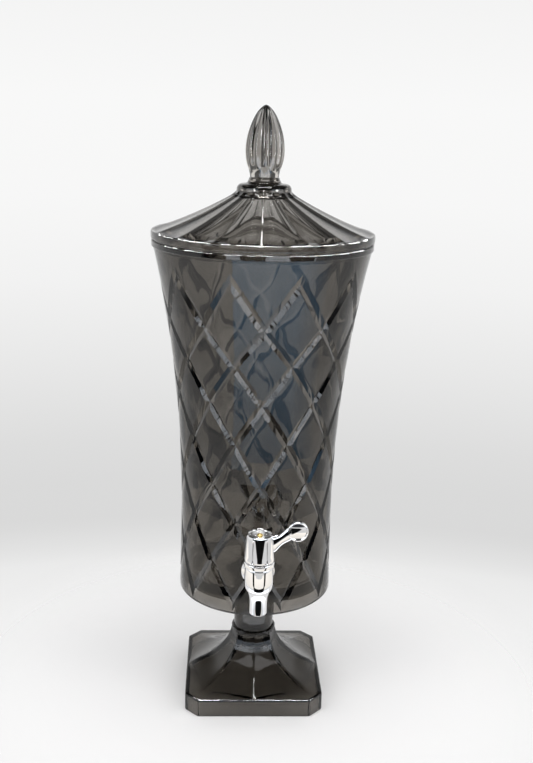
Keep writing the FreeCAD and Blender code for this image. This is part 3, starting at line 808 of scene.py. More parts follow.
def side_radius(z):
    """Radius of the mid-side ridges, which run straight out to the ledge near the foot."""
    size = chosen("pedestal")
    part = (z - size.edge_height) / SIDE_RUN_OUT
    if part >= 1:
        return flare_radius(z)
    edge = pedestal_high.x - size.ledge
    eased = part * (1 - SIDE_EASE) + SIDE_EASE * part ** 2
    return edge + (flare_radius(size.edge_height + SIDE_RUN_OUT) - edge) * eased


def flare_ring(z, inset, hollow, angles, unevenness=0.0):
    """Ring of the eight-sided flare, each facet scooped between its ridges."""
    size = chosen("pedestal")
    level = z + inset
    limit = (2 * pedestal_high.x - size.corner_cut) / math.sqrt(2) - size.ledge * math.sqrt(2)
    side = side_radius(level) - inset
    corner = min(flare_radius(level), limit) - inset
    corners = [(i * math.pi / 4, side if i % 2 == 0 else corner) for i in range(8)]

    def radius(angle):
        scoop = hollow * math.sin((angle % (math.pi / 4)) * 4)
        off_ridge = abs((angle + math.pi / 8) % (math.pi / 4) - math.pi / 8)
        rounding = RIDGE_ROUNDING * max(0.0, 1 - off_ridge / RIDGE_SPAN) ** 2
        return polygon_radius(angle, corners) - scoop - rounding

    return ring(uneven(radius, z, unevenness, HOLLOW_WAVE), z, angles)


def pedestal_angles():
    """Angles round the pedestal, close together at the ridges and at the band's corners."""
    lean = band_corners(0)[0][0]
    half = [*RIDGE_LINES] + evenly(0.07, lean - 2.5 * CORNER_LINES, 10)
    half += evenly(lean - CORNER_LINES, lean + CORNER_LINES, 9)
    half += evenly(lean + 2 * CORNER_LINES, math.pi / 4 - 0.012, 3) + [math.pi / 4]
    angles = []
    for quarter_turn in range(4):
        start = quarter_turn * math.pi / 2
        angles += [start + a for a in half[:-1]]
        angles += [start + math.pi / 2 - a for a in reversed(half[1:])]
    return angles


def make_pedestal():
    """The pedestal: a band with cut corners, an eight-sided flare and a round collar, hollow below."""
    size = chosen("pedestal")
    top = pedestal_high.z
    edge = size.edge_height
    angles = pedestal_angles()

    def band(z, inset):
        """Ring of the band, moved in by an inset."""
        return ring(lambda angle: band_radius(angle, inset), z, angles)

    rings = [band(0, BAND_BEVEL), band(0.3 * BAND_BEVEL, 0.3 * BAND_BEVEL), band(BAND_BEVEL, 0),
             band(0.5 * edge, 0)]
    rings += [band(z, -inset)
              for inset, z in arc_points((-BAND_BEVEL, edge - BAND_BEVEL), BAND_BEVEL, 0, 90, 8)]
    collar_z = top - size.collar_height
    for i in range(FLARE_LEVELS + 1):
        part = i / FLARE_LEVELS
        z = edge + (collar_z - edge) * part ** LEVEL_CROWDING
        rings.append(flare_ring(z, 0, size.facet_hollow * (1 - part ** 4), angles))
    shelf = vessel_low.z - SHELF_BELOW_SPIGOT
    collar = [(size.stem_radius - 0.0003, collar_z + 0.0004), (size.stem_radius, collar_z + 0.0010),
              (size.stem_radius, top - 0.0006), (size.stem_radius - 0.0005, top),
              (size.socket_radius + 0.0005, top), (size.socket_radius, top - 0.0005),
              (size.socket_radius, vessel_low.z), (size.socket_radius, shelf)]
    rings += [ring(radius, z, angles) for radius, z in collar]
    roof = edge - size.wall
    for i in range(HOLLOW_LEVELS, -1, -1):
        z = roof + (shelf - roof) * (i / HOLLOW_LEVELS) ** LEVEL_CROWDING
        rings.append(flare_ring(z, size.flare_wall, 0.5 * size.facet_hollow, angles, size.unevenness))
    rings += [band(z, size.wall) for z in (roof, 0.5 * roof, 0)]
    return piece("clear_pedestal", *skin(rings, loop=True), crease=PEDESTAL_CREASE)


# ---------------------------------------------------------------- lid and finial
# How much of the cone's rise is bent into a hollow, and where a panel turns over into a ridge's crest
LID_HOLLOW_SHARE = 0.28
CREST_START = 0.88
PANEL_SLACK = 1e-6
LID_GAP = 0.0015
LID_SEAT_GAP = 0.00025
LID_COLLAR_DROP = 0.008
LID_FADE = 0.0032
LID_WAVES = 0.00005
LOCATING_RING_DEPTH = 0.007
LOCATING_RING_WALL = 0.0026
LOCATING_RING_CLEARANCE = 0.0008
LOCATING_RING_BEVEL = 0.0005
FINIAL_HOLE = 0.00505
COLLAR_HOLLOW = 0.0168
LID_CREASE = 15.0
# Distances in from the cone's edge over which its flutes rise, and rings of mesh from there to the collar
LID_EDGE_STEPS = (0.0003, 0.0010, 0.0020, LID_FADE)
CONE_RINGS = 14
# Arches at the collar's foot: where they start, how far they reach out at the ridges, and their rings as
# distances further out and shares of the flutes' depth
ARCH_START, ARCH_REACH = 0.0010, 0.0030
ARCHES = ((0.0005, 0.6), (0.0003, 0.55), (0.0001, 0.1), (-0.0002, 0.0))
# Places of the mesh's lines over half a panel, close together at the crest
HALF_PANEL = (0.0, 0.012, 0.026, 0.042, 0.065, 0.11, 0.19, 0.29, 0.39, 0.5)
# Radii and heights of the collar's rounded top, above the collar's foot
COLLAR_TOP = ((0.0206, 0.0040), (0.0194, 0.0056), (0.0172, 0.0066), (0.0145, 0.0069), (0.0131, 0.0074),
              (0.0126, LID_COLLAR_DROP))


def cone_height(radius):
    """Height of the lid's cone at a radius, slightly hollow."""
    size = chosen("lid")
    start = lid_high.x - 0.5 * size.shoulder
    low = lid_edge_level() + size.edge_height + size.shoulder
    high = lid_high.z - LID_COLLAR_DROP
    part = (start - radius) / (start - size.collar_radius)
    return low + (high - low) * ((1 - LID_HOLLOW_SHARE) * part + LID_HOLLOW_SHARE * part ** 2)


def lid_edge_level():
    """Height of the lower side of the lid's edge."""
    return vessel_high.z + LID_GAP


def lid_underside():
    """Radii and heights from the finial's hole over the cone's inside and the locating ring to the edge."""
    size = chosen("lid")
    vessel = chosen("vessel")
    edge_z = lid_edge_level()
    outer = lid_high.x
    seat_z = vessel_high.z + LID_SEAT_GAP
    seat_radius = vessel_high.x - vessel.rim_overhang - 0.0012
    ring_z = seat_z - LOCATING_RING_DEPTH
    ring_outer = body_radius(vessel_high.z - LOCATING_RING_DEPTH) - vessel.wall - LOCATING_RING_CLEARANCE
    ring_inner = ring_outer - LOCATING_RING_WALL
    collar_z = lid_high.z - LID_COLLAR_DROP
    plate_z = lid_high.z - size.collar_plate
    outline = [(FINIAL_HOLE, plate_z), (0.0150, plate_z), (0.0163, plate_z - 0.0005),
               (COLLAR_HOLLOW, plate_z - 0.0018)]
    outline += [(r, min(cone_height(r), collar_z) - size.thickness)
                for r in evenly(COLLAR_HOLLOW, outer - 0.5 * size.shoulder - 0.012, 10)]
    bevel = LOCATING_RING_BEVEL
    outline += [(ring_inner, seat_z + 0.003), (ring_inner, ring_z + bevel), (ring_inner + bevel, ring_z),
                (ring_outer - bevel, ring_z), (ring_outer, ring_z + bevel), (ring_outer, seat_z),
                (seat_radius, seat_z), (seat_radius, edge_z), (outer - 0.0009, edge_z),
                (dashed(outer - 0.0003, 0.00007), edge_z + 0.0003), (outer, edge_z + 0.0009)]
    return outline


def make_lid():
    """The lid: a cone of scooped panels, a plain edge, a collar and a ring that sits in the mouth."""
    size = chosen("lid")
    outer = lid_high.x
    edge_top = lid_edge_level() + size.edge_height
    cone_start = outer - 0.5 * size.shoulder
    step = 2 * math.pi / size.flutes
    panel = [*HALF_PANEL] + [1 - part for part in reversed(HALF_PANEL[1:-1])]
    angles = [size.turn + step * (i + part) for i in range(size.flutes) for part in panel]

    def across(angle):
        """Place between two ridges, from -1 to 1."""
        return 2 * (((angle - size.turn) / step + PANEL_SLACK) % 1.0) - 1

    def scoop(angle):
        """Share of a panel's depth: round at the crest of a ridge, one hollow between."""
        off = abs(across(angle))
        crest = max(0.0, (off - CREST_START) / (1 - CREST_START))
        return 1 - off ** 2 + (1 - CREST_START) * crest ** 2

    def cone_ring(radius, depth):
        """One ring of the cone, lowered between its ridges."""
        return [at_angle(radius, angle, cone_height(radius) - size.flute_depth * depth * scoop(angle))
                for angle in angles]

    def arch_ring(out, depth):
        """Ring round the collar's foot where the panels end in arches."""
        points = []
        for angle in angles:
            radius = size.collar_radius + ARCH_START + out + ARCH_REACH * across(angle) ** 2
            points.append(at_angle(radius, angle, cone_height(radius) - depth * scoop(angle)))
        return points

    edge = lid_underside() + [(outer, edge_top - 0.0005),
                              (dashed(outer - 0.0001, LID_WAVES), edge_top + 0.0002),
                              (dashed(outer - 0.0003, LID_WAVES), edge_top + 0.0007)]
    rings = [ring(radius, z, angles) for radius, z in edge]
    for step_in in LID_EDGE_STEPS:
        rings.append(cone_ring(cone_start - step_in, min(1.0, step_in / LID_FADE)))
    for radius in evenly(cone_start - 0.006, size.collar_radius + 0.0052, CONE_RINGS):
        part = (radius - size.collar_radius) / (cone_start - size.collar_radius)
        rings.append(cone_ring(radius, 0.6 + 0.4 * part))
    for out, share_left in ARCHES:
        rings.append(arch_ring(out, size.flute_depth * share_left))
    collar_z = lid_high.z - LID_COLLAR_DROP
    collar = [(size.collar_radius + 0.0001, collar_z + 0.0009), (size.collar_radius, collar_z + 0.0031)]
    collar += smooth_curve(raised(COLLAR_TOP, collar_z), 12) + [(FINIAL_HOLE, lid_high.z)]
    rings += [ring(radius, z, angles) for radius, z in collar]
    return piece("clear_lid", *skin(rings, loop=True), crease=LID_CREASE)


# The finial's foot, as radii and heights above its seat
FINIAL_SEAT_GAP = 0.00002
FINIAL_SPIGOT = 0.005
FINIAL_FOOT = ((FINIAL_SPIGOT, 0), (0.0118, 0), (0.0125, 0.0003), (0.0125, 0.0010), (0.0114, 0.0015),
               (0.0118, 0.0020), (0.0118, 0.0026), (0.0109, 0.0032))
# How sharp the creases between its ribs are, and from where and over what share of its height they fade in
FINIAL_CREASE_POWER = 1.7
FINIAL_RIB_START, FINIAL_RIB_FADE = 0.12, 0.16
FINIAL_CREASE = 24.0
# Mesh lines over each rib and up the bud
LINES_A_RIB, BUD_LEVELS = 12, 40
# The bud's outline, as shares of its widest radius and of its height
FINIAL_BUD = ((0.742, 0.075), (0.785, 0.135), (0.90, 0.22), (0.975, 0.31), (1.0, 0.43), (0.94, 0.575),
              (0.80, 0.705), (0.60, 0.83), (0.40, 0.917), (0.20, 0.972), (0.06, 0.997))


def make_finial():
    """The finial: a pointed bud with ribs round it, on a smooth neck and a spigot."""
    size = chosen("lid")
    seat = lid_high.z + FINIAL_SEAT_GAP
    angles = full_turn(size.ribs * LINES_A_RIB)

    def ribbed(radius, depth):
        """Radius of a ring with round ribs and sharp creases between them."""
        def at(angle):
            across = 2 * ((angle * size.ribs / (2 * math.pi) + 0.5) % 1.0) - 1
            return radius - depth * abs(across) ** FINIAL_CREASE_POWER
        return at

    foot = [(0, finial_low.z), (FINIAL_SPIGOT, finial_low.z)] + raised(FINIAL_FOOT, seat)
    rings = [ring(radius, z, angles) for radius, z in foot]
    for radius, level in smooth_curve(FINIAL_BUD, BUD_LEVELS):
        rise = min(max((level - FINIAL_RIB_START) / FINIAL_RIB_FADE, 0.0), 1.0)
        depth = size.rib_depth * rise * (3 - 2 * rise) * rise * min(1.0, 0.35 + radius)
        z = seat + (finial_high.z - seat) * level
        rings.append(ring(ribbed(finial_high.x * radius, depth), z, angles))
    rings.append(ring(0, finial_high.z, angles))
    return piece("clear_finial", *skin(rings), crease=FINIAL_CREASE)


# ---------------------------------------------------------------- tap
# Outlines of the body's turned parts, as radii and places along the part: the spout's above its mouth,
# the belly's and the barrel's above the arm's axis, the arm's behind the upright axis
SPOUT = ((0, 0), (0.0056, 0), (0.0061, 0.0002), (0.0065, 0.0008), (0.0066, 0.005))
BELLY = ((0.0068, -0.0141), (0.0073, -0.0106), (0.0087, -0.0068), (0.0103, -0.0037), (0.0109, -0.0002),
         (0.0109, 0.0045), (0.0107, 0.0095), (0.0105, 0.0128), (0.0101, 0.0136))
BARREL = ((0.0090, 0.0136), (0.0090, 0.0155), (0, 0.0155))
ARM = ((0, 0), (0.0076, 0), (0.0074, -0.0100), (0.0076, -0.0145), (0.0086, -0.0172), (0.0105, -0.0184),
       (0.0120, -0.0188), (0.01275, -0.0196))
FLANGE_RADIUS = 0.01275
# Radii of the body's bores, and heights where they start and end above the arm's axis
OUTLET_BORE, CHAMBER_BORE, INLET_BORE = 0.0042, 0.005, 0.0036
OUTLET_TOP, CHAMBER_FLOOR, CHAMBER_TOP = -0.0078, -0.0079, 0.0170
OVERCUT = 0.001
# Sides of the mesh round its parts: large ones, the arm and the paddle, the stud and the shank, bores
ROUND_SIDES, ARM_SIDES, STUD_SIDES, BORE_SIDES = 96, 64, 48, 32
BELLY_LEVELS = 34
# Depth of the shank's thread, rings of mesh in each of its turns and rings over which it runs out
THREAD_DEPTH = 0.0008
THREAD_STEPS = 6
THREAD_FADE = 8


def threaded_shank(front_y, back_y):
    """The shank that passes through the wall, its thread cut as a helix."""
    size = chosen("tap")
    angles = full_turn(STUD_SIDES)
    core = size.shank_radius - THREAD_DEPTH
    steps = round((back_y - front_y) / size.thread_pitch * THREAD_STEPS)
    rings = [ring(0, 0.002, angles), ring(core, 0.002, angles)]
    for i in range(steps + 1):
        level = (back_y - front_y) * i / steps
        height = THREAD_DEPTH * min(1.0, (steps - i) / THREAD_FADE)

        def radius(angle, level=level, height=height):
            turn = (level / size.thread_pitch + angle / (2 * math.pi)) % 1.0
            return core + height * (1 - abs(2 * turn - 1))

        rings.append(ring(radius, -level, angles))
    rings.append(ring(0, front_y - back_y, angles))
    return piece("shank", *skin(rings), place=along_front(front_y, TAP_Z))


def plug_shape(radius, low, high):
    """Outline of a plain round plug."""
    return [(0, low), (radius, low), (radius, high), (0, high)]


def make_tap_body():
    """The tap's body: spout, belly and barrel on one axis, with the arm, flange and shank behind."""
    outline = raised(SPOUT, tap_low.z) + smooth_curve(raised(BELLY, TAP_Z), BELLY_LEVELS)
    outline += raised(BARREL, TAP_Z)
    made = turned("chrome_tap_body", outline, ROUND_SIDES)
    flange_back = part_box("tap_outer_washer")[0].y
    reach = flange_back - TAP_Y
    arm_place = along_front(TAP_Y, TAP_Z)
    arm = [*ARM, (FLANGE_RADIUS, -reach + 0.0003), (FLANGE_RADIUS - 0.00035, -reach), (0, -reach)]
    combine(made, turned("arm", arm, ARM_SIDES, arm_place), "UNION")
    combine(made, threaded_shank(flange_back - OVERCUT, tap_high.y), "UNION")
    bores = {
        "outlet": (plug_shape(OUTLET_BORE, tap_low.z - OVERCUT, TAP_Z + OUTLET_TOP), TAP_AXIS),
        "chamber": (plug_shape(CHAMBER_BORE, TAP_Z + CHAMBER_FLOOR, TAP_Z + CHAMBER_TOP), TAP_AXIS),
        "inlet": (plug_shape(INLET_BORE, 0, TAP_Y - tap_high.y - OVERCUT), arm_place),
    }
    for name, (outline, place) in bores.items():
        combine(made, turned(name, outline, BORE_SIDES, place), "DIFFERENCE")
    return made


# The bonnet's bore, in which the plug's stem turns
BONNET_BORE = 0.00408


def make_bonnet():
    """The round nut that holds the plug in the barrel."""
    low, high = bonnet_low.z, bonnet_high.z
    outline = [(BONNET_BORE, low), (0.0090, low), (0.0107, low)]
    outline += arc_points((0.0107, low + 0.0009), 0.0008, -90, 0, 4)
    outline += arc_points((0.0105, high - 0.0011), 0.0010, 0, 90, 4)
    outline += [(0.0060, high), (BONNET_BORE, high)]
    return turned("chrome_bonnet", outline, ROUND_SIDES, loop=True)


# The lever's lower and upper edges, as places out from the axis and heights, and half its depth
LEVER_LOW = ((0.0068, 0.1588), (0.0115, 0.1603), (0.0165, 0.1660), (0.0235, 0.1700))
LEVER_HIGH = ((0.0068, 0.1719), (0.0113, 0.1733), (0.0160, 0.1755), (0.0225, 0.1818))
LEVER_HALF = (0.0024, 0.0023, 0.0021, 0.0019)
LEVER_ROUNDNESS = 2.9
LEVER_STATIONS = 22
LEVER_SIDES = 28
LEVER_CREASE = 40.0
HANDLE_CREASE = 28.0


def make_lever():
    """The S-shaped arm of the lever, thinner towards the paddle."""
    low = smooth_curve(LEVER_LOW, LEVER_STATIONS)
    high = smooth_curve(LEVER_HIGH, LEVER_STATIONS)
    half = smooth_curve([(depth, 0) for depth in LEVER_HALF], LEVER_STATIONS)
    power = 2 / LEVER_ROUNDNESS
    rings = []
    for (x0, z0), (x1, z1), (depth, _) in zip(low, high, half):
        section = []
        for angle in full_turn(LEVER_SIDES):
            up, out = math.cos(angle), math.sin(angle)
            rise = 0.5 + 0.5 * math.copysign(abs(up) ** power, up)
            y = TAP_Y + depth * math.copysign(abs(out) ** power, out)
            section.append(Vector((x0 + (x1 - x0) * rise, y, z0 + (z1 - z0) * rise)))
        rings.append(section)
    first = [sum(rings[0], Vector()) / len(rings[0])]
    last = [sum(rings[-1], Vector()) / len(rings[-1])]
    return piece("lever", *skin([first] + rings + [last]), crease=LEVER_CREASE)


# How far the cap stands above the badge, the gap under the badge and the cap's thickness below it
CAP_ABOVE_BADGE = 0.0007
BADGE_SEAT_GAP = 0.00002
CAP_ROOF = 0.004
# The cap's bores for the plug's stem, the screw and its head, and how far the head's seat is above the roof
CAP_STEM_BORE = 0.00405
SCREW_BORE = 0.0016
SCREW_HEAD_BORE, SCREW_SEAT_RISE = 0.0034, 0.0014
# The paddle's middle above the cap's top, half its thickness, its rim's rounding and its dome's height
PADDLE_RISE = 0.0020
PADDLE_HALF = 0.0019
PADDLE_RIM = 0.0009
PADDLE_DOME = 0.0007
# The cap's top edge, as distances in from its top radius and down from its top
CAP_EDGE = ((0, 0.0010), (0.0002, 0.0004), (0.0007, 0), (0.0012, 0))
# Angles of the mesh's lines to each side of a grip groove's middle
GROOVE_LINES = (0.012, 0.030, 0.046, 0.058, 0.075, 0.1)


def cap_angles(count):
    """Angles round the cap, close together at its grip grooves."""
    angles = []
    middle = math.pi / count
    near = [middle + side * a for side in (-1, 1) for a in GROOVE_LINES]
    for i in range(count):
        angles += [2 * middle * i + a for a in sorted(near + [0, middle] + evenly(0.1, middle - 0.14, 4)
                                                      + evenly(middle + 0.14, 2 * middle - 0.1, 4))]
    return angles


def make_cap():
    """The grooved cap, hollow below, with a recess for the badge and a hole for the screw."""
    size = chosen("tap")
    low, high = handle_low.z, badge_high.z + CAP_ABOVE_BADGE
    slope = (size.cap_bottom - size.cap_top) / (high - low)

    def grooved(radius, depth):
        """Radius of a ring with narrow round grooves."""
        def at(angle):
            gap = 2 * math.pi / size.grooves
            off = abs((angle % gap) - gap / 2) * radius
            inside = max(0.0, 1 - (off / size.groove_radius) ** 2)
            return radius - depth * math.sqrt(inside)
        return at

    outer = [(0.0106, low, 0), (0.0112, low + 0.0003, 0), (size.cap_bottom, low + 0.0009, 0.6)]
    for level in evenly(low + 0.002, high - 0.0042, 6):
        outer.append((size.cap_bottom - slope * (level - low), level, 1.0))
    outer += [(size.cap_top + slope * 0.003, high - 0.0031, 0.75),
              (size.cap_top + slope * 0.002, high - 0.0023, 0.0)]
    outer += [(size.cap_top - step_in, high - down, 0.0) for step_in, down in CAP_EDGE]
    recess = badge_low.z - BADGE_SEAT_GAP
    roof = recess - CAP_ROOF
    screw_seat = roof + SCREW_SEAT_RISE
    inner = [(0.0080, high - 0.0005), (0.0077, high - 0.0010), (0.0076, recess),
             (SCREW_HEAD_BORE, recess), (SCREW_HEAD_BORE, screw_seat), (SCREW_BORE, screw_seat),
             (SCREW_BORE, roof), (CAP_STEM_BORE, roof), (CAP_STEM_BORE, low + 0.0005), (0.0064, low),
             (0.0064, roof - 0.003), (0.0086, roof - 0.003), (0.0090, low)]
    angles = cap_angles(size.grooves)
    rings = [ring(grooved(radius, size.groove_radius * depth), z, angles) for radius, z, depth in outer]
    rings += [ring(radius, z, angles) for radius, z in inner]
    return piece("chrome_handle", *skin(rings, loop=True), crease=HANDLE_CREASE, place=TAP_AXIS)


def make_paddle():
    """The lever's round end, domed inside a rounded rim on both faces."""
    size = chosen("tap")
    dome = size.paddle_radius - 0.0014
    face = [(dome * part, PADDLE_DOME * part ** 2 - PADDLE_HALF) for part in evenly(0.0, 1.0, 9)]
    face += [(dome + 0.0001, -0.0017)]
    face += arc_points((size.paddle_radius - PADDLE_RIM, -0.0011), PADDLE_RIM, -100, 0, 6)
    outline = face + [(radius, -y) for radius, y in reversed(face)]
    middle_z = badge_high.z + CAP_ABOVE_BADGE + PADDLE_RISE
    place = (Matrix.Translation((size.paddle_offset, 0, 0)) @ along_front(TAP_Y, middle_z)
             @ Matrix.Scale(-1, 4, (0, 0, 1)))
    return turned("paddle", outline, ARM_SIDES, place)


def make_handle():
    """The handle: a grooved cap over the plug's stem, with a lever and a round domed paddle."""
    made = make_cap()
    combine(made, make_lever(), "UNION", HANDLE_CREASE)
    combine(made, make_paddle(), "UNION", HANDLE_CREASE)
    return made


# Number of turned rings in the badge, the first one's radius, their spacing and the height of the step
# between them, and how much deeper the badge's middle lies than its edge
BADGE_RINGS = 9
FIRST_RING, RING_SPACING, RING_STEP = 0.0064, 0.00044, 0.00004
BADGE_DIP = 0.00045
BADGE_CREASE = 50.0


def make_badge():
    """The dished disc set in the top of the handle, with fine turned rings."""
    low, high = badge_low.z, badge_high.z
    outline = [(0, low), (0.0075, low), (0.0075, high - 0.0002), (0.0073, high), (0.0067, high)]
    for i in range(BADGE_RINGS):
        radius = FIRST_RING - RING_SPACING * i
        dip = BADGE_DIP * math.sin(math.pi / 2 * (i + 1) / BADGE_RINGS)
        outline += [(radius, high - dip), (radius - 0.5 * RING_SPACING, high - dip - RING_STEP)]
    outline += [(0, high - BADGE_DIP)]
    return turned("chrome_badge", outline, ROUND_SIDES, crease=BADGE_CREASE)


def make_stud():
    """The plain round stud in the middle of the badge."""
    low, high = stud_low.z, stud_high.z
    radius = 0.5 * (stud_high.x - stud_low.x) - 0.0002
    outline = [(0, low), (radius - 0.0003, low), (radius, low + 0.0003)]
    outline += smooth_curve([(radius - 0.0002, low + 0.0006), (0.7 * radius, high - 0.0002),
                             (0.001, high - 0.00002), (0.0, high)], 10)
    return turned("gold_stud", outline, STUD_SIDES, crease=BADGE_CREASE)


# ---------------------------------------------------------------- stage
# The camera: how far in front of the tower's axis and how high it stands, in metres; how far down it
# looks, how far round it stands and how far it leans, in degrees; its aim beside the axis; its lens
CAMERA_DISTANCE = 0.7636
CAMERA_HEIGHT = 0.4765
CAMERA_PITCH = 15.3
CAMERA_TURN = -2.2
CAMERA_ROLL = 1.55
AIM_RIGHT = 0.0057
LENS = 46.87
FLOOR_RADIUS = 0.30
FLOOR_FADE_START = 0.13
FLOOR_DROP = 0.00005


def make_camera():
    """Camera in front of the tower, a little to the left and looking down."""
    turn = math.radians(CAMERA_TURN)
    data = bpy.data.cameras.new("camera")
    data.lens = LENS
    data.sensor_width = 36.0
    data.clip_start = 0.05
    made = bpy.data.objects.new("camera", data)
    bpy.context.scene.collection.objects.link(made)
    made.location = at_angle(CAMERA_DISTANCE, turn, CAMERA_HEIGHT)
    drop = CAMERA_DISTANCE * math.tan(math.radians(CAMERA_PITCH))
    aim = Vector((AIM_RIGHT * math.cos(turn), AIM_RIGHT * math.sin(turn), CAMERA_HEIGHT - drop))
    look = (aim - made.location).to_track_quat("-Z", "Y").to_matrix().to_4x4()
    made.matrix_world = (Matrix.Translation(made.location) @ look
                         @ Matrix.Rotation(math.radians(CAMERA_ROLL), 4, "Z"))
    bpy.context.scene.camera = made


def make_floor():
    """Pale round floor that takes the tower's shadow and melts into the surroundings beyond."""
    angles = full_turn(96)
    floor = piece("floor", *skin([ring(r, 0, angles) for r in (0, 0.2, FLOOR_RADIUS)]))
    floor.location.z = -FLOOR_DROP
    material, tree, out = new_material("pale_floor")
    place = add_node(tree, "ShaderNodeTexCoord").outputs["Object"]
    distance = add_node(tree, "ShaderNodeVectorMath", {0: place}, operation="LENGTH")
    solid_part = add_node(tree, "ShaderNodeMapRange",
                          {"Value": distance.outputs["Value"], "From Min": FLOOR_FADE_START,
                           "From Max": FLOOR_RADIUS, "To Min": 1.0, "To Max": 0.0},
                          interpolation_type="SMOOTHSTEP")
    plain = add_node(tree, "ShaderNodeBsdfPrincipled",
                     {"Base Color": solid(chosen("finish").floor), "Roughness": 0.9,
                      "Specular IOR Level": 0.0, "Alpha": solid_part.outputs["Result"]})
    tree.links.new(plain.outputs[0], out.inputs["Surface"])
    paint(floor, material)


# Tones of the seamless backdrop by the sine of the elevation at which it is seen. The darker band a little
# below the horizon is painted shade, standing in for the shadow where a curved backdrop turns from floor to
# wall
BACKDROP = ((-0.60, 0.900), (-0.546, 0.912), (-0.4985, 0.885), (-0.465, 0.870), (-0.4305, 0.830),
            (-0.4179, 0.770), (-0.394, 0.695), (-0.357, 0.700), (-0.320, 0.725), (-0.2436, 0.810),
            (-0.165, 0.888), (-0.085, 0.930), (0.009, 0.940), (0.10, 0.905))
BACKDROP_BLUE = 0.998
# What is seen through the clear plastic: light boxes all round with dark gaps, brighter at the sides
LIGHT_BOXES = 8
GAP_START, GAP_END, GAP_TONE = 0.24, 0.30, 0.05
SIDE_START, SIDE_END, SIDE_GAIN = 22, 32, 1.8
FILL_START, FILL_END, CENTRE_FILL = 30, 38, 0.14
FLOOR_GLOW = (-0.60, -0.50)
CEILING_THROUGH, CEILING_MIRRORED = (0.62, 0.74), (0.42, 0.58)
CEILING_TONE = 0.06
# What is mirrored: a dark room in front with a window at each side. Turns are degrees from the front,
# levels are sines of the elevation, each as where the tone starts and ends to rise and then to fall.
# The room's turns rise before zero, so that it reaches right across the front
ROOM_TONE = (0.035, 0.037, 0.042, 1.0)
ROOM_TURNS = ((-2, -1), (60, 68))
ROOM_LEVELS = ((-0.20, -0.12), (0.40, 0.50))
WINDOW_TONE = (1.2, 1.35, 1.55, 1.0)
WINDOW_TURNS = ((26, 32), (64, 72))
WINDOW_LEVELS = ((0.04, 0.10), (0.42, 0.48))
# What lights dull surfaces from all round
EVEN_LIGHT, EVEN_STRENGTH = (0.97, 0.985, 1.0, 1.0), 0.80


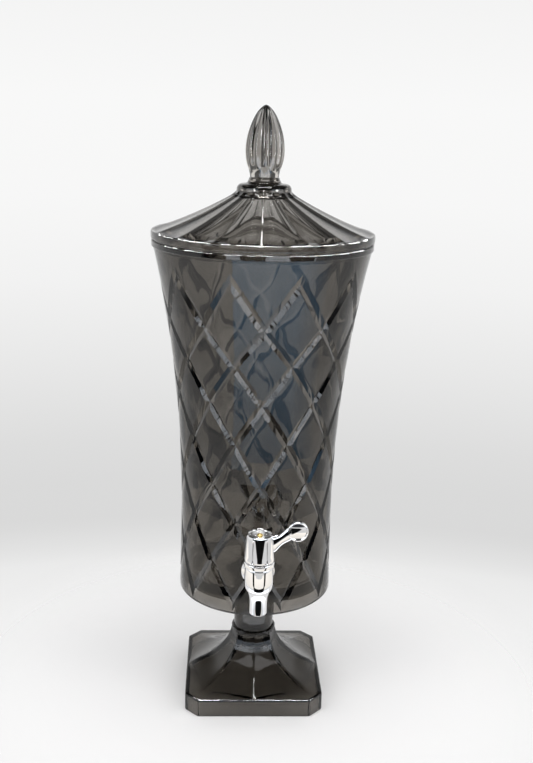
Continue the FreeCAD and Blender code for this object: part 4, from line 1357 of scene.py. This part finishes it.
def make_world():
    """Surroundings that differ for the camera, for what is seen through, for mirrors and for dull ones."""
    world = bpy.data.worlds.new("studio")
    bpy.context.scene.world = world
    world.use_nodes = True
    tree = world.node_tree
    tree.nodes.clear()
    out = tree.nodes.new("ShaderNodeOutputWorld")

    def maths(operation, *values):
        """Result of a sum on numbers and sockets."""
        return add_node(tree, "ShaderNodeMath", dict(enumerate(values)), operation=operation).outputs[0]

    def spread(value, low, high, start, end):
        """Smooth step from a start to an end while a value passes from low to high."""
        return add_node(tree, "ShaderNodeMapRange",
                        {"Value": value, "From Min": low, "From Max": high, "To Min": start, "To Max": end},
                        interpolation_type="SMOOTHSTEP").outputs["Result"]

    def within(value, rise, fall):
        """Mask that rises and then falls."""
        return maths("MULTIPLY", spread(value, *rise, 0.0, 1.0), spread(value, *fall, 1.0, 0.0))

    def within_turns(value, turns):
        """The same over angles given in degrees."""
        return within(value, *[[math.radians(turn) for turn in pair] for pair in turns])

    def mixed(shade, other, factor, blend):
        """One colour laid over another, or multiplied by it."""
        node = add_node(tree, "ShaderNodeMix", {"Factor": factor}, data_type="RGBA", blend_type=blend)
        tree.links.new(shade, node.inputs[6])
        if isinstance(other, bpy.types.NodeSocket):
            tree.links.new(other, node.inputs[7])
        else:
            node.inputs[7].default_value = other
        return node.outputs[2]

    def lit(shade, strength=1.0):
        """Background of one colour."""
        return add_node(tree, "ShaderNodeBackground", {"Color": shade, "Strength": strength}).outputs[0]

    direction = add_node(tree, "ShaderNodeTexCoord").outputs["Generated"]
    x, y, z = add_node(tree, "ShaderNodeSeparateXYZ", {0: direction}).outputs
    ramp = tree.nodes.new("ShaderNodeValToRGB")
    tree.links.new(maths("MULTIPLY_ADD", z, 0.5, 0.5), ramp.inputs["Fac"])
    while len(ramp.color_ramp.elements) < len(BACKDROP):
        ramp.color_ramp.elements.new(1.0)
    for element, (level, tone) in zip(ramp.color_ramp.elements, BACKDROP):
        element.position = 0.5 * level + 0.5
        element.color = (tone, tone, tone * BACKDROP_BLUE, 1.0)
    backdrop = ramp.outputs["Color"]

    behind = maths("ARCTAN2", x, y)
    off_back = maths("ABSOLUTE", behind)
    share = maths("FRACT", maths("MULTIPLY_ADD", behind, LIGHT_BOXES / (2 * math.pi), LIGHT_BOXES + 0.5))
    off_gap = maths("ABSOLUTE", maths("SUBTRACT", share, 0.5))
    gain = spread(off_back, math.radians(SIDE_START), math.radians(SIDE_END), 1.0, SIDE_GAIN)
    boxes = maths("MULTIPLY", spread(off_gap, GAP_START, GAP_END, 1.0, GAP_TONE), gain)
    fill = spread(off_back, math.radians(FILL_START), math.radians(FILL_END), CENTRE_FILL, 0.0)
    boxes = maths("MAXIMUM", maths("MAXIMUM", boxes, fill), spread(z, *FLOOR_GLOW, 1.0, 0.0))
    boxes = maths("MULTIPLY", boxes, spread(z, *CEILING_THROUGH, 1.0, CEILING_TONE))

    front = maths("ABSOLUTE", maths("ARCTAN2", x, maths("MULTIPLY", y, -1.0)))
    mirror = mixed(backdrop, spread(z, *CEILING_MIRRORED, 1.0, CEILING_TONE), 1.0, "MULTIPLY")
    for tone, turns, levels in ((ROOM_TONE, ROOM_TURNS, ROOM_LEVELS),
                                (WINDOW_TONE, WINDOW_TURNS, WINDOW_LEVELS)):
        mask = maths("MULTIPLY", within_turns(front, turns), within(z, *levels))
        mirror = mixed(mirror, tone, mask, "MIX")

    path = add_node(tree, "ShaderNodeLightPath")
    view = lit(mirror)
    for ray, seen in (("Is Diffuse Ray", lit(EVEN_LIGHT, EVEN_STRENGTH)),
                      ("Is Transmission Ray", lit(mixed(backdrop, boxes, 1.0, "MULTIPLY"))),
                      ("Is Camera Ray", lit(backdrop))):
        view = add_node(tree, "ShaderNodeMixShader", {0: path.outputs[ray], 1: view, 2: seen}).outputs[0]
    tree.links.new(view, out.inputs["Surface"])


# Lamps: name, place, place that it points at, sides, power
LAMPS = (("side_lamp_left", (-1.1, -0.5, 0.9), (0, 0, 0.25), (0.7, 1.1), 3.5),
         ("side_lamp_right", (1.1, -0.4, 0.9), (0, 0, 0.25), (0.7, 1.1), 3.5),
         ("top_strip", (0.0, -0.35, 1.5), (0, 0, 0.2), (0.9, 0.16), 5.0))
# Glowing arcs round the tower: name, height, radii, turns from the front where it starts and ends and
# over which it fades there, tone, strength at each radius
GLOW_ARCS = (("cool_arc", 0.190, (0.12, 0.51), (-32, 72), (1.5, 36), (0.42, 0.69, 1.0), (0.2, 2.3)),
             ("near_arc", 0.001, (0.124, 0.26), (-70, 70), (10, 10), (0.95, 0.97, 1.0), (2.7, 0.6)),
             ("warm_arc", 0.001, (0.26, 0.46), (-125, 125), (20, 20), (1.0, 0.95, 0.88), (0.95, 1.2)))
# Black cards in front of the tap: their place along Y, and the places of their corners across and up
BLACK_CARDS = {
    "spout_card": (-0.122, ((-0.028, 0.090), (0.028, 0.090), (0.028, 0.118), (-0.028, 0.118))),
    "cap_card": (-0.130, ((-0.006, 0.143), (0.006, 0.143), (0.043, 0.168), (0.034, 0.171),
                          (-0.034, 0.171), (-0.043, 0.168))),
    "belly_card_left": (-0.122, ((-0.021, 0.118), (-0.034, 0.118), (-0.044, 0.138), (-0.026, 0.138))),
    "belly_card_right": (-0.122, ((0.021, 0.118), (0.034, 0.118), (0.044, 0.138), (0.026, 0.138))),
}
# How close together the runs of light along a strip lie
RUNS_SCALE = 85.0
# Level strips at the rim and the foot: how far their edges stand off, their height and half their sweep
RIM_LIGHT_GAPS, RIM_LIGHT_RISE, RIM_LIGHT_TURN = (0.002, 0.024), 0.016, 80
FOOT_LIGHT_GAPS, FOOT_LIGHT_Z, FOOT_LIGHT_TURN = (0.003, 0.028), 0.029, 52
# Strips over the lid's front crest and the foot's front ridge: how far out and up they stand off, where
# they start and end (as radii and as heights) and half their width
CREST_LIGHT_OFF, CREST_LIGHT_REACH, CREST_LIGHT_HALF = (0.0036, 0.0071), (0.024, 0.083), 0.0009
RIDGE_LIGHT_OFF, RIDGE_LIGHT_REACH, RIDGE_LIGHT_HALF = (0.009, 0.004), (0.0185, 0.031), 0.0012
# Strips in front: places along the badge's, the ring that lights the grooves, the finial's two
BADGE_LIGHT, BADGE_LIGHT_HALF = ((0.072, 0.1765), (0.072, 0.1830)), 0.0030
GROOVE_LIGHT_RADIUS, GROOVE_LIGHT_LEVELS, GROOVE_LIGHT_TURN = 0.50, (0.188, 0.320), 47
FINIAL_LIGHT_RADIUS, FINIAL_LIGHT_LEVELS, FINIAL_LIGHT_HALF = 0.10, (0.425, 0.505), 0.006
FINIAL_LIGHT_TURNS = {"finial_light_left": -40, "finial_light_right": 48}


def make_lamp(name, place, target, sides, power):
    """Soft rectangular lamp that points at a place and isn't seen by the camera itself."""
    data = bpy.data.lights.new(name, "AREA")
    data.shape = "RECTANGLE"
    data.size, data.size_y = sides
    data.energy = power
    made = bpy.data.objects.new(name, data)
    bpy.context.scene.collection.objects.link(made)
    aim = (Vector(target) - Vector(place)).to_track_quat("-Z", "Y").to_matrix().to_4x4()
    made.matrix_world = Matrix.Translation(place) @ aim
    made.visible_camera = False


def hide_but_in_mirrors(card, material):
    """A card shows in reflections only and lights nothing."""
    paint(card, material)
    material.cycles.emission_sampling = "NONE"
    card.visible_camera = False
    card.visible_diffuse = False
    card.visible_transmission = False
    card.visible_shadow = False


def make_black_card(name, y, corners):
    """Flat upright black card."""
    material, tree, out = new_material(name)
    dark = add_node(tree, "ShaderNodeBsdfDiffuse", {"Color": (0.01, 0.01, 0.01, 1.0)})
    tree.links.new(dark.outputs[0], out.inputs["Surface"])
    card = piece(name, [(x, y, z) for x, z in corners], [list(range(len(corners)))])
    hide_but_in_mirrors(card, material)


def ribbon(name, first, second, facing):
    """Open strip between two rows of points, its front towards a direction."""
    count = len(first)
    made = piece(name, first + second, [(i, i + 1, count + 1 + i, count + i) for i in range(count - 1)])
    if made.data.polygons[0].normal.dot(Vector(facing)) < 0:
        made.data.flip_normals()
    return made


def level_rows(radii, z, low, high, count=60):
    """Two rows of points at one height, between two turns from the front in degrees."""
    angles = evenly(math.radians(low), math.radians(high), count)
    return [ring(radius, z, angles) for radius in radii]


def rows_beside(middle, half_width, turn=0.0):
    """Two rows of points left and right of a line of radii and heights at one angle."""
    aside = Vector((math.cos(turn), math.sin(turn), 0)) * half_width
    return [[at_angle(radius, turn, z) + side * aside for radius, z in middle] for side in (-1, 1)]


def glow_in_front(tree, out, tone, strength, shown=None):
    """Light from a strip's front, all of it or where a mask shows it; clear elsewhere and from behind."""
    clear = add_node(tree, "ShaderNodeBsdfTransparent").outputs[0]
    glow = add_node(tree, "ShaderNodeEmission", {"Color": solid(tone), "Strength": strength}).outputs[0]
    if shown is not None:
        glow = add_node(tree, "ShaderNodeMixShader", {0: shown, 1: clear, 2: glow}).outputs[0]
    behind = add_node(tree, "ShaderNodeNewGeometry").outputs["Backfacing"]
    both = add_node(tree, "ShaderNodeMixShader", {0: behind, 1: glow, 2: clear})
    tree.links.new(both.outputs[0], out.inputs["Surface"])


def make_glow_arc(name, z, reach, sweep, soft, tone, strength):
    """Level sector of a ring round the tower; its glow fades at both ends and changes outwards."""
    material, tree, out = new_material(name)
    place = add_node(tree, "ShaderNodeTexCoord").outputs["Object"]
    parts = add_node(tree, "ShaderNodeSeparateXYZ", {0: place})
    back = add_node(tree, "ShaderNodeMath", {0: parts.outputs["Y"], 1: -1.0}, operation="MULTIPLY")
    turn = add_node(tree, "ShaderNodeMath", {0: parts.outputs["X"], 1: back.outputs[0]},
                    operation="ARCTAN2")

    def faded(start, width):
        """Mask that rises from one end of the sweep, over a width in degrees."""
        return add_node(tree, "ShaderNodeMapRange",
                        {"Value": turn.outputs[0], "From Min": math.radians(start),
                         "From Max": math.radians(start + width)}).outputs["Result"]

    shown = add_node(tree, "ShaderNodeMath", {0: faded(sweep[0], soft[0]), 1: faded(sweep[1], -soft[1])},
                     operation="MULTIPLY")
    outwards = add_node(tree, "ShaderNodeVectorMath", {0: place}, operation="LENGTH").outputs["Value"]
    power = add_node(tree, "ShaderNodeMapRange",
                     {"Value": outwards, "From Min": reach[0], "From Max": reach[1],
                      "To Min": strength[0], "To Max": strength[1]})
    glow_in_front(tree, out, tone, power.outputs["Result"], shown.outputs[0])
    hide_but_in_mirrors(ribbon(name, *level_rows(reach, z, *sweep, 40), (0, 0, 1)), material)


def make_edge_light(name, rows, facing, strength, tone=(1.0, 1.0, 1.0), gaps=(0.42, 0.54)):
    """Strip along an edge, a little off it; its front glows in short runs."""
    material, tree, out = new_material(name)
    power = add_node(tree, "ShaderNodeMapRange",
                     {"Value": cloud(tree, RUNS_SCALE, 2.0), "From Min": gaps[0], "From Max": gaps[1],
                      "To Min": 0.0, "To Max": strength})
    glow_in_front(tree, out, tone, power.outputs["Result"])
    hide_but_in_mirrors(ribbon(name, *rows, facing), material)


def make_edge_lights():
    """Strips whose reflections light the rim, the foot, the lid's front crest and the front ridge."""
    down = (0, 0, -1)
    rim = [vessel_high.x + out for out in RIM_LIGHT_GAPS]
    rows = level_rows(rim, vessel_high.z + RIM_LIGHT_RISE, -RIM_LIGHT_TURN, RIM_LIGHT_TURN)
    make_edge_light("rim_light", rows, down, 45.0)
    foot = [lambda angle, out=out: band_radius(angle, -out) for out in FOOT_LIGHT_GAPS]
    rows = level_rows(foot, FOOT_LIGHT_Z, -FOOT_LIGHT_TURN, FOOT_LIGHT_TURN)
    make_edge_light("foot_light", rows, down, 45.0)
    out, up = CREST_LIGHT_OFF
    crest = [(radius + out, cone_height(radius) + up) for radius in evenly(*CREST_LIGHT_REACH, 12)]
    rows = rows_beside(crest, CREST_LIGHT_HALF, chosen("lid").turn)
    make_edge_light("crest_light", rows, down, 18.0)
    out, up = RIDGE_LIGHT_OFF
    ridge = [(side_radius(z) + out, z + up) for z in evenly(*RIDGE_LIGHT_REACH, 12)]
    make_edge_light("ridge_light", rows_beside(ridge, RIDGE_LIGHT_HALF), (0, 1, -1), 13.0)


def make_front_lights():
    """Strips in front that light the badge, the grooves and the sides of the finial."""
    make_edge_light("badge_light", rows_beside(BADGE_LIGHT, BADGE_LIGHT_HALF), (0, -1, 0), 1.4)
    half_sweep = math.radians(GROOVE_LIGHT_TURN)
    grooves = [ring(GROOVE_LIGHT_RADIUS, z, evenly(-half_sweep, half_sweep, 60))
               for z in GROOVE_LIGHT_LEVELS]
    make_edge_light("groove_light", grooves, (0, 1, 0), 4.2, (0.86, 0.92, 1.0), (0.34, 0.46))
    upright = [(FINIAL_LIGHT_RADIUS, z) for z in evenly(*FINIAL_LIGHT_LEVELS, 9)]
    for name, turn in FINIAL_LIGHT_TURNS.items():
        rows = rows_beside(upright, FINIAL_LIGHT_HALF, math.radians(turn))
        make_edge_light(name, rows, (0, 1, 0), 28.0, gaps=(0.38, 0.50))


# ---------------------------------------------------------------- operators
class TOWER_OT_stage(bpy.types.Operator):
    """Makes the camera, the floor, the surroundings and the lamps"""
    bl_idname = "tower.stage"
    bl_label = "Stage"

    def execute(self, context):
        make_camera()
        make_floor()
        make_world()
        for lamp in LAMPS:
            make_lamp(*lamp)
        for arc in GLOW_ARCS:
            make_glow_arc(*arc)
        make_edge_lights()
        make_front_lights()
        for name, (y, corners) in BLACK_CARDS.items():
            make_black_card(name, y, corners)
        context.scene.view_settings.view_transform = "Standard"
        return {"FINISHED"}


class TOWER_OT_vessel(bpy.types.Operator):
    """Makes the clear vessel with its diamond cuts"""
    bl_idname = "tower.vessel"
    bl_label = "Vessel"

    def execute(self, context):
        settle(make_vessel(), "vessel", STAND, clear_plastic("vessel"))
        return {"FINISHED"}


class TOWER_OT_pedestal(bpy.types.Operator):
    """Makes the clear pedestal"""
    bl_idname = "tower.pedestal"
    bl_label = "Pedestal"

    def execute(self, context):
        settle(make_pedestal(), "pedestal", STAND, clear_plastic("pedestal"))
        return {"FINISHED"}


class TOWER_OT_lid(bpy.types.Operator):
    """Makes the fluted lid and the finial on it"""
    bl_idname = "tower.lid"
    bl_label = "Lid and finial"

    def execute(self, context):
        settle(make_lid(), "lid_shell", LID, clear_plastic("lid"))
        settle(make_finial(), "finial", LID, clear_plastic("finial"))
        return {"FINISHED"}


class TOWER_OT_tap(bpy.types.Operator):
    """Makes the tap's plated pieces"""
    bl_idname = "tower.tap"
    bl_label = "Tap"

    def execute(self, context):
        finish = chosen("finish")
        chrome = plated("chrome_plate", finish.chrome, smooth=0.02, dull=0.06)
        settle(make_tap_body(), "tap_body", STAND, chrome)
        settle(make_bonnet(), "tap_bonnet", STAND, chrome)
        settle(make_handle(), "tap_handle", LEVER, chrome)
        disc = plated("disc_plate", finish.chrome, smooth=0.22, dull=0.32, ripple_height=0.00001)
        settle(make_badge(), "handle_badge", LEVER, disc)
        gold = plated("gold_plate", finish.brass, smooth=0.32, dull=0.42)
        settle(make_stud(), "badge_stud", LEVER, gold)
        return {"FINISHED"}


# Tints of the hidden pieces, and what lets light into the silicone
MILKY = (0.80, 0.81, 0.82)
NYLON_BLACK = (0.035, 0.035, 0.036)
ACETAL_WHITE = (0.82, 0.81, 0.78)
NITRILE_BLACK = (0.02, 0.02, 0.02)
ZINC = (0.62, 0.62, 0.63)
SILICONE_SOCKETS = {"Transmission Weight": 0.35, "IOR": 1.41}


class TOWER_OT_inner_parts(bpy.types.Operator):
    """Gives the washers, nut, plug, rings, seal and screw their finishes"""
    bl_idname = "tower.inner_parts"
    bl_label = "Inner parts"

    def execute(self, context):
        milky = moulded("milky_silicone", MILKY, smooth=0.30, dull=0.50, **SILICONE_SOCKETS)
        finishes = {
            "tap_outer_washer": milky,
            "tap_inner_washer": milky,
            "seat_seal": milky,
            "tap_lock_nut": moulded("black_nylon", NYLON_BLACK, smooth=0.28, dull=0.45),
            "tap_plug": moulded("natural_acetal", ACETAL_WHITE, smooth=0.25, dull=0.40),
            "plug_o_rings": moulded("black_nitrile", NITRILE_BLACK, smooth=0.35, dull=0.55),
            "handle_screw": plated("zinc_steel", ZINC, smooth=0.22, dull=0.38),
        }
        for name, material in finishes.items():
            paint(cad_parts[name], material)
        return {"FINISHED"}


class TOWER_PT_panel(bpy.types.Panel):
    """Lists the tower's pieces and their settings"""
    bl_idname = "TOWER_PT_panel"
    bl_label = "Drink tower"
    bl_space_type = "VIEW_3D"
    bl_region_type = "UI"
    bl_category = "Tower"

    def draw(self, context):
        for operator in OPERATORS:
            self.layout.operator(operator.bl_idname)
        for name, kind in SETTINGS.items():
            box = self.layout.box()
            box.label(text=name.capitalize())
            for key in kind.__annotations__:
                box.prop(chosen(name), key)


OPERATORS = (TOWER_OT_stage, TOWER_OT_vessel, TOWER_OT_pedestal, TOWER_OT_lid, TOWER_OT_tap,
             TOWER_OT_inner_parts)
CLASSES = tuple(SETTINGS.values()) + OPERATORS + (TOWER_PT_panel,)


def register():
    for one in CLASSES:
        bpy.utils.register_class(one)
    for name, kind in SETTINGS.items():
        setattr(bpy.types.Scene, SCENE_PREFIX + name, bpy.props.PointerProperty(type=kind))


def unregister():
    for name in SETTINGS:
        delattr(bpy.types.Scene, SCENE_PREFIX + name)
    for one in reversed(CLASSES):
        bpy.utils.unregister_class(one)


def main():
    register()
    for operator in OPERATORS:
        group, action = operator.bl_idname.split(".")
        getattr(getattr(bpy.ops, group), action)()


if __name__ == "__main__":
    main()
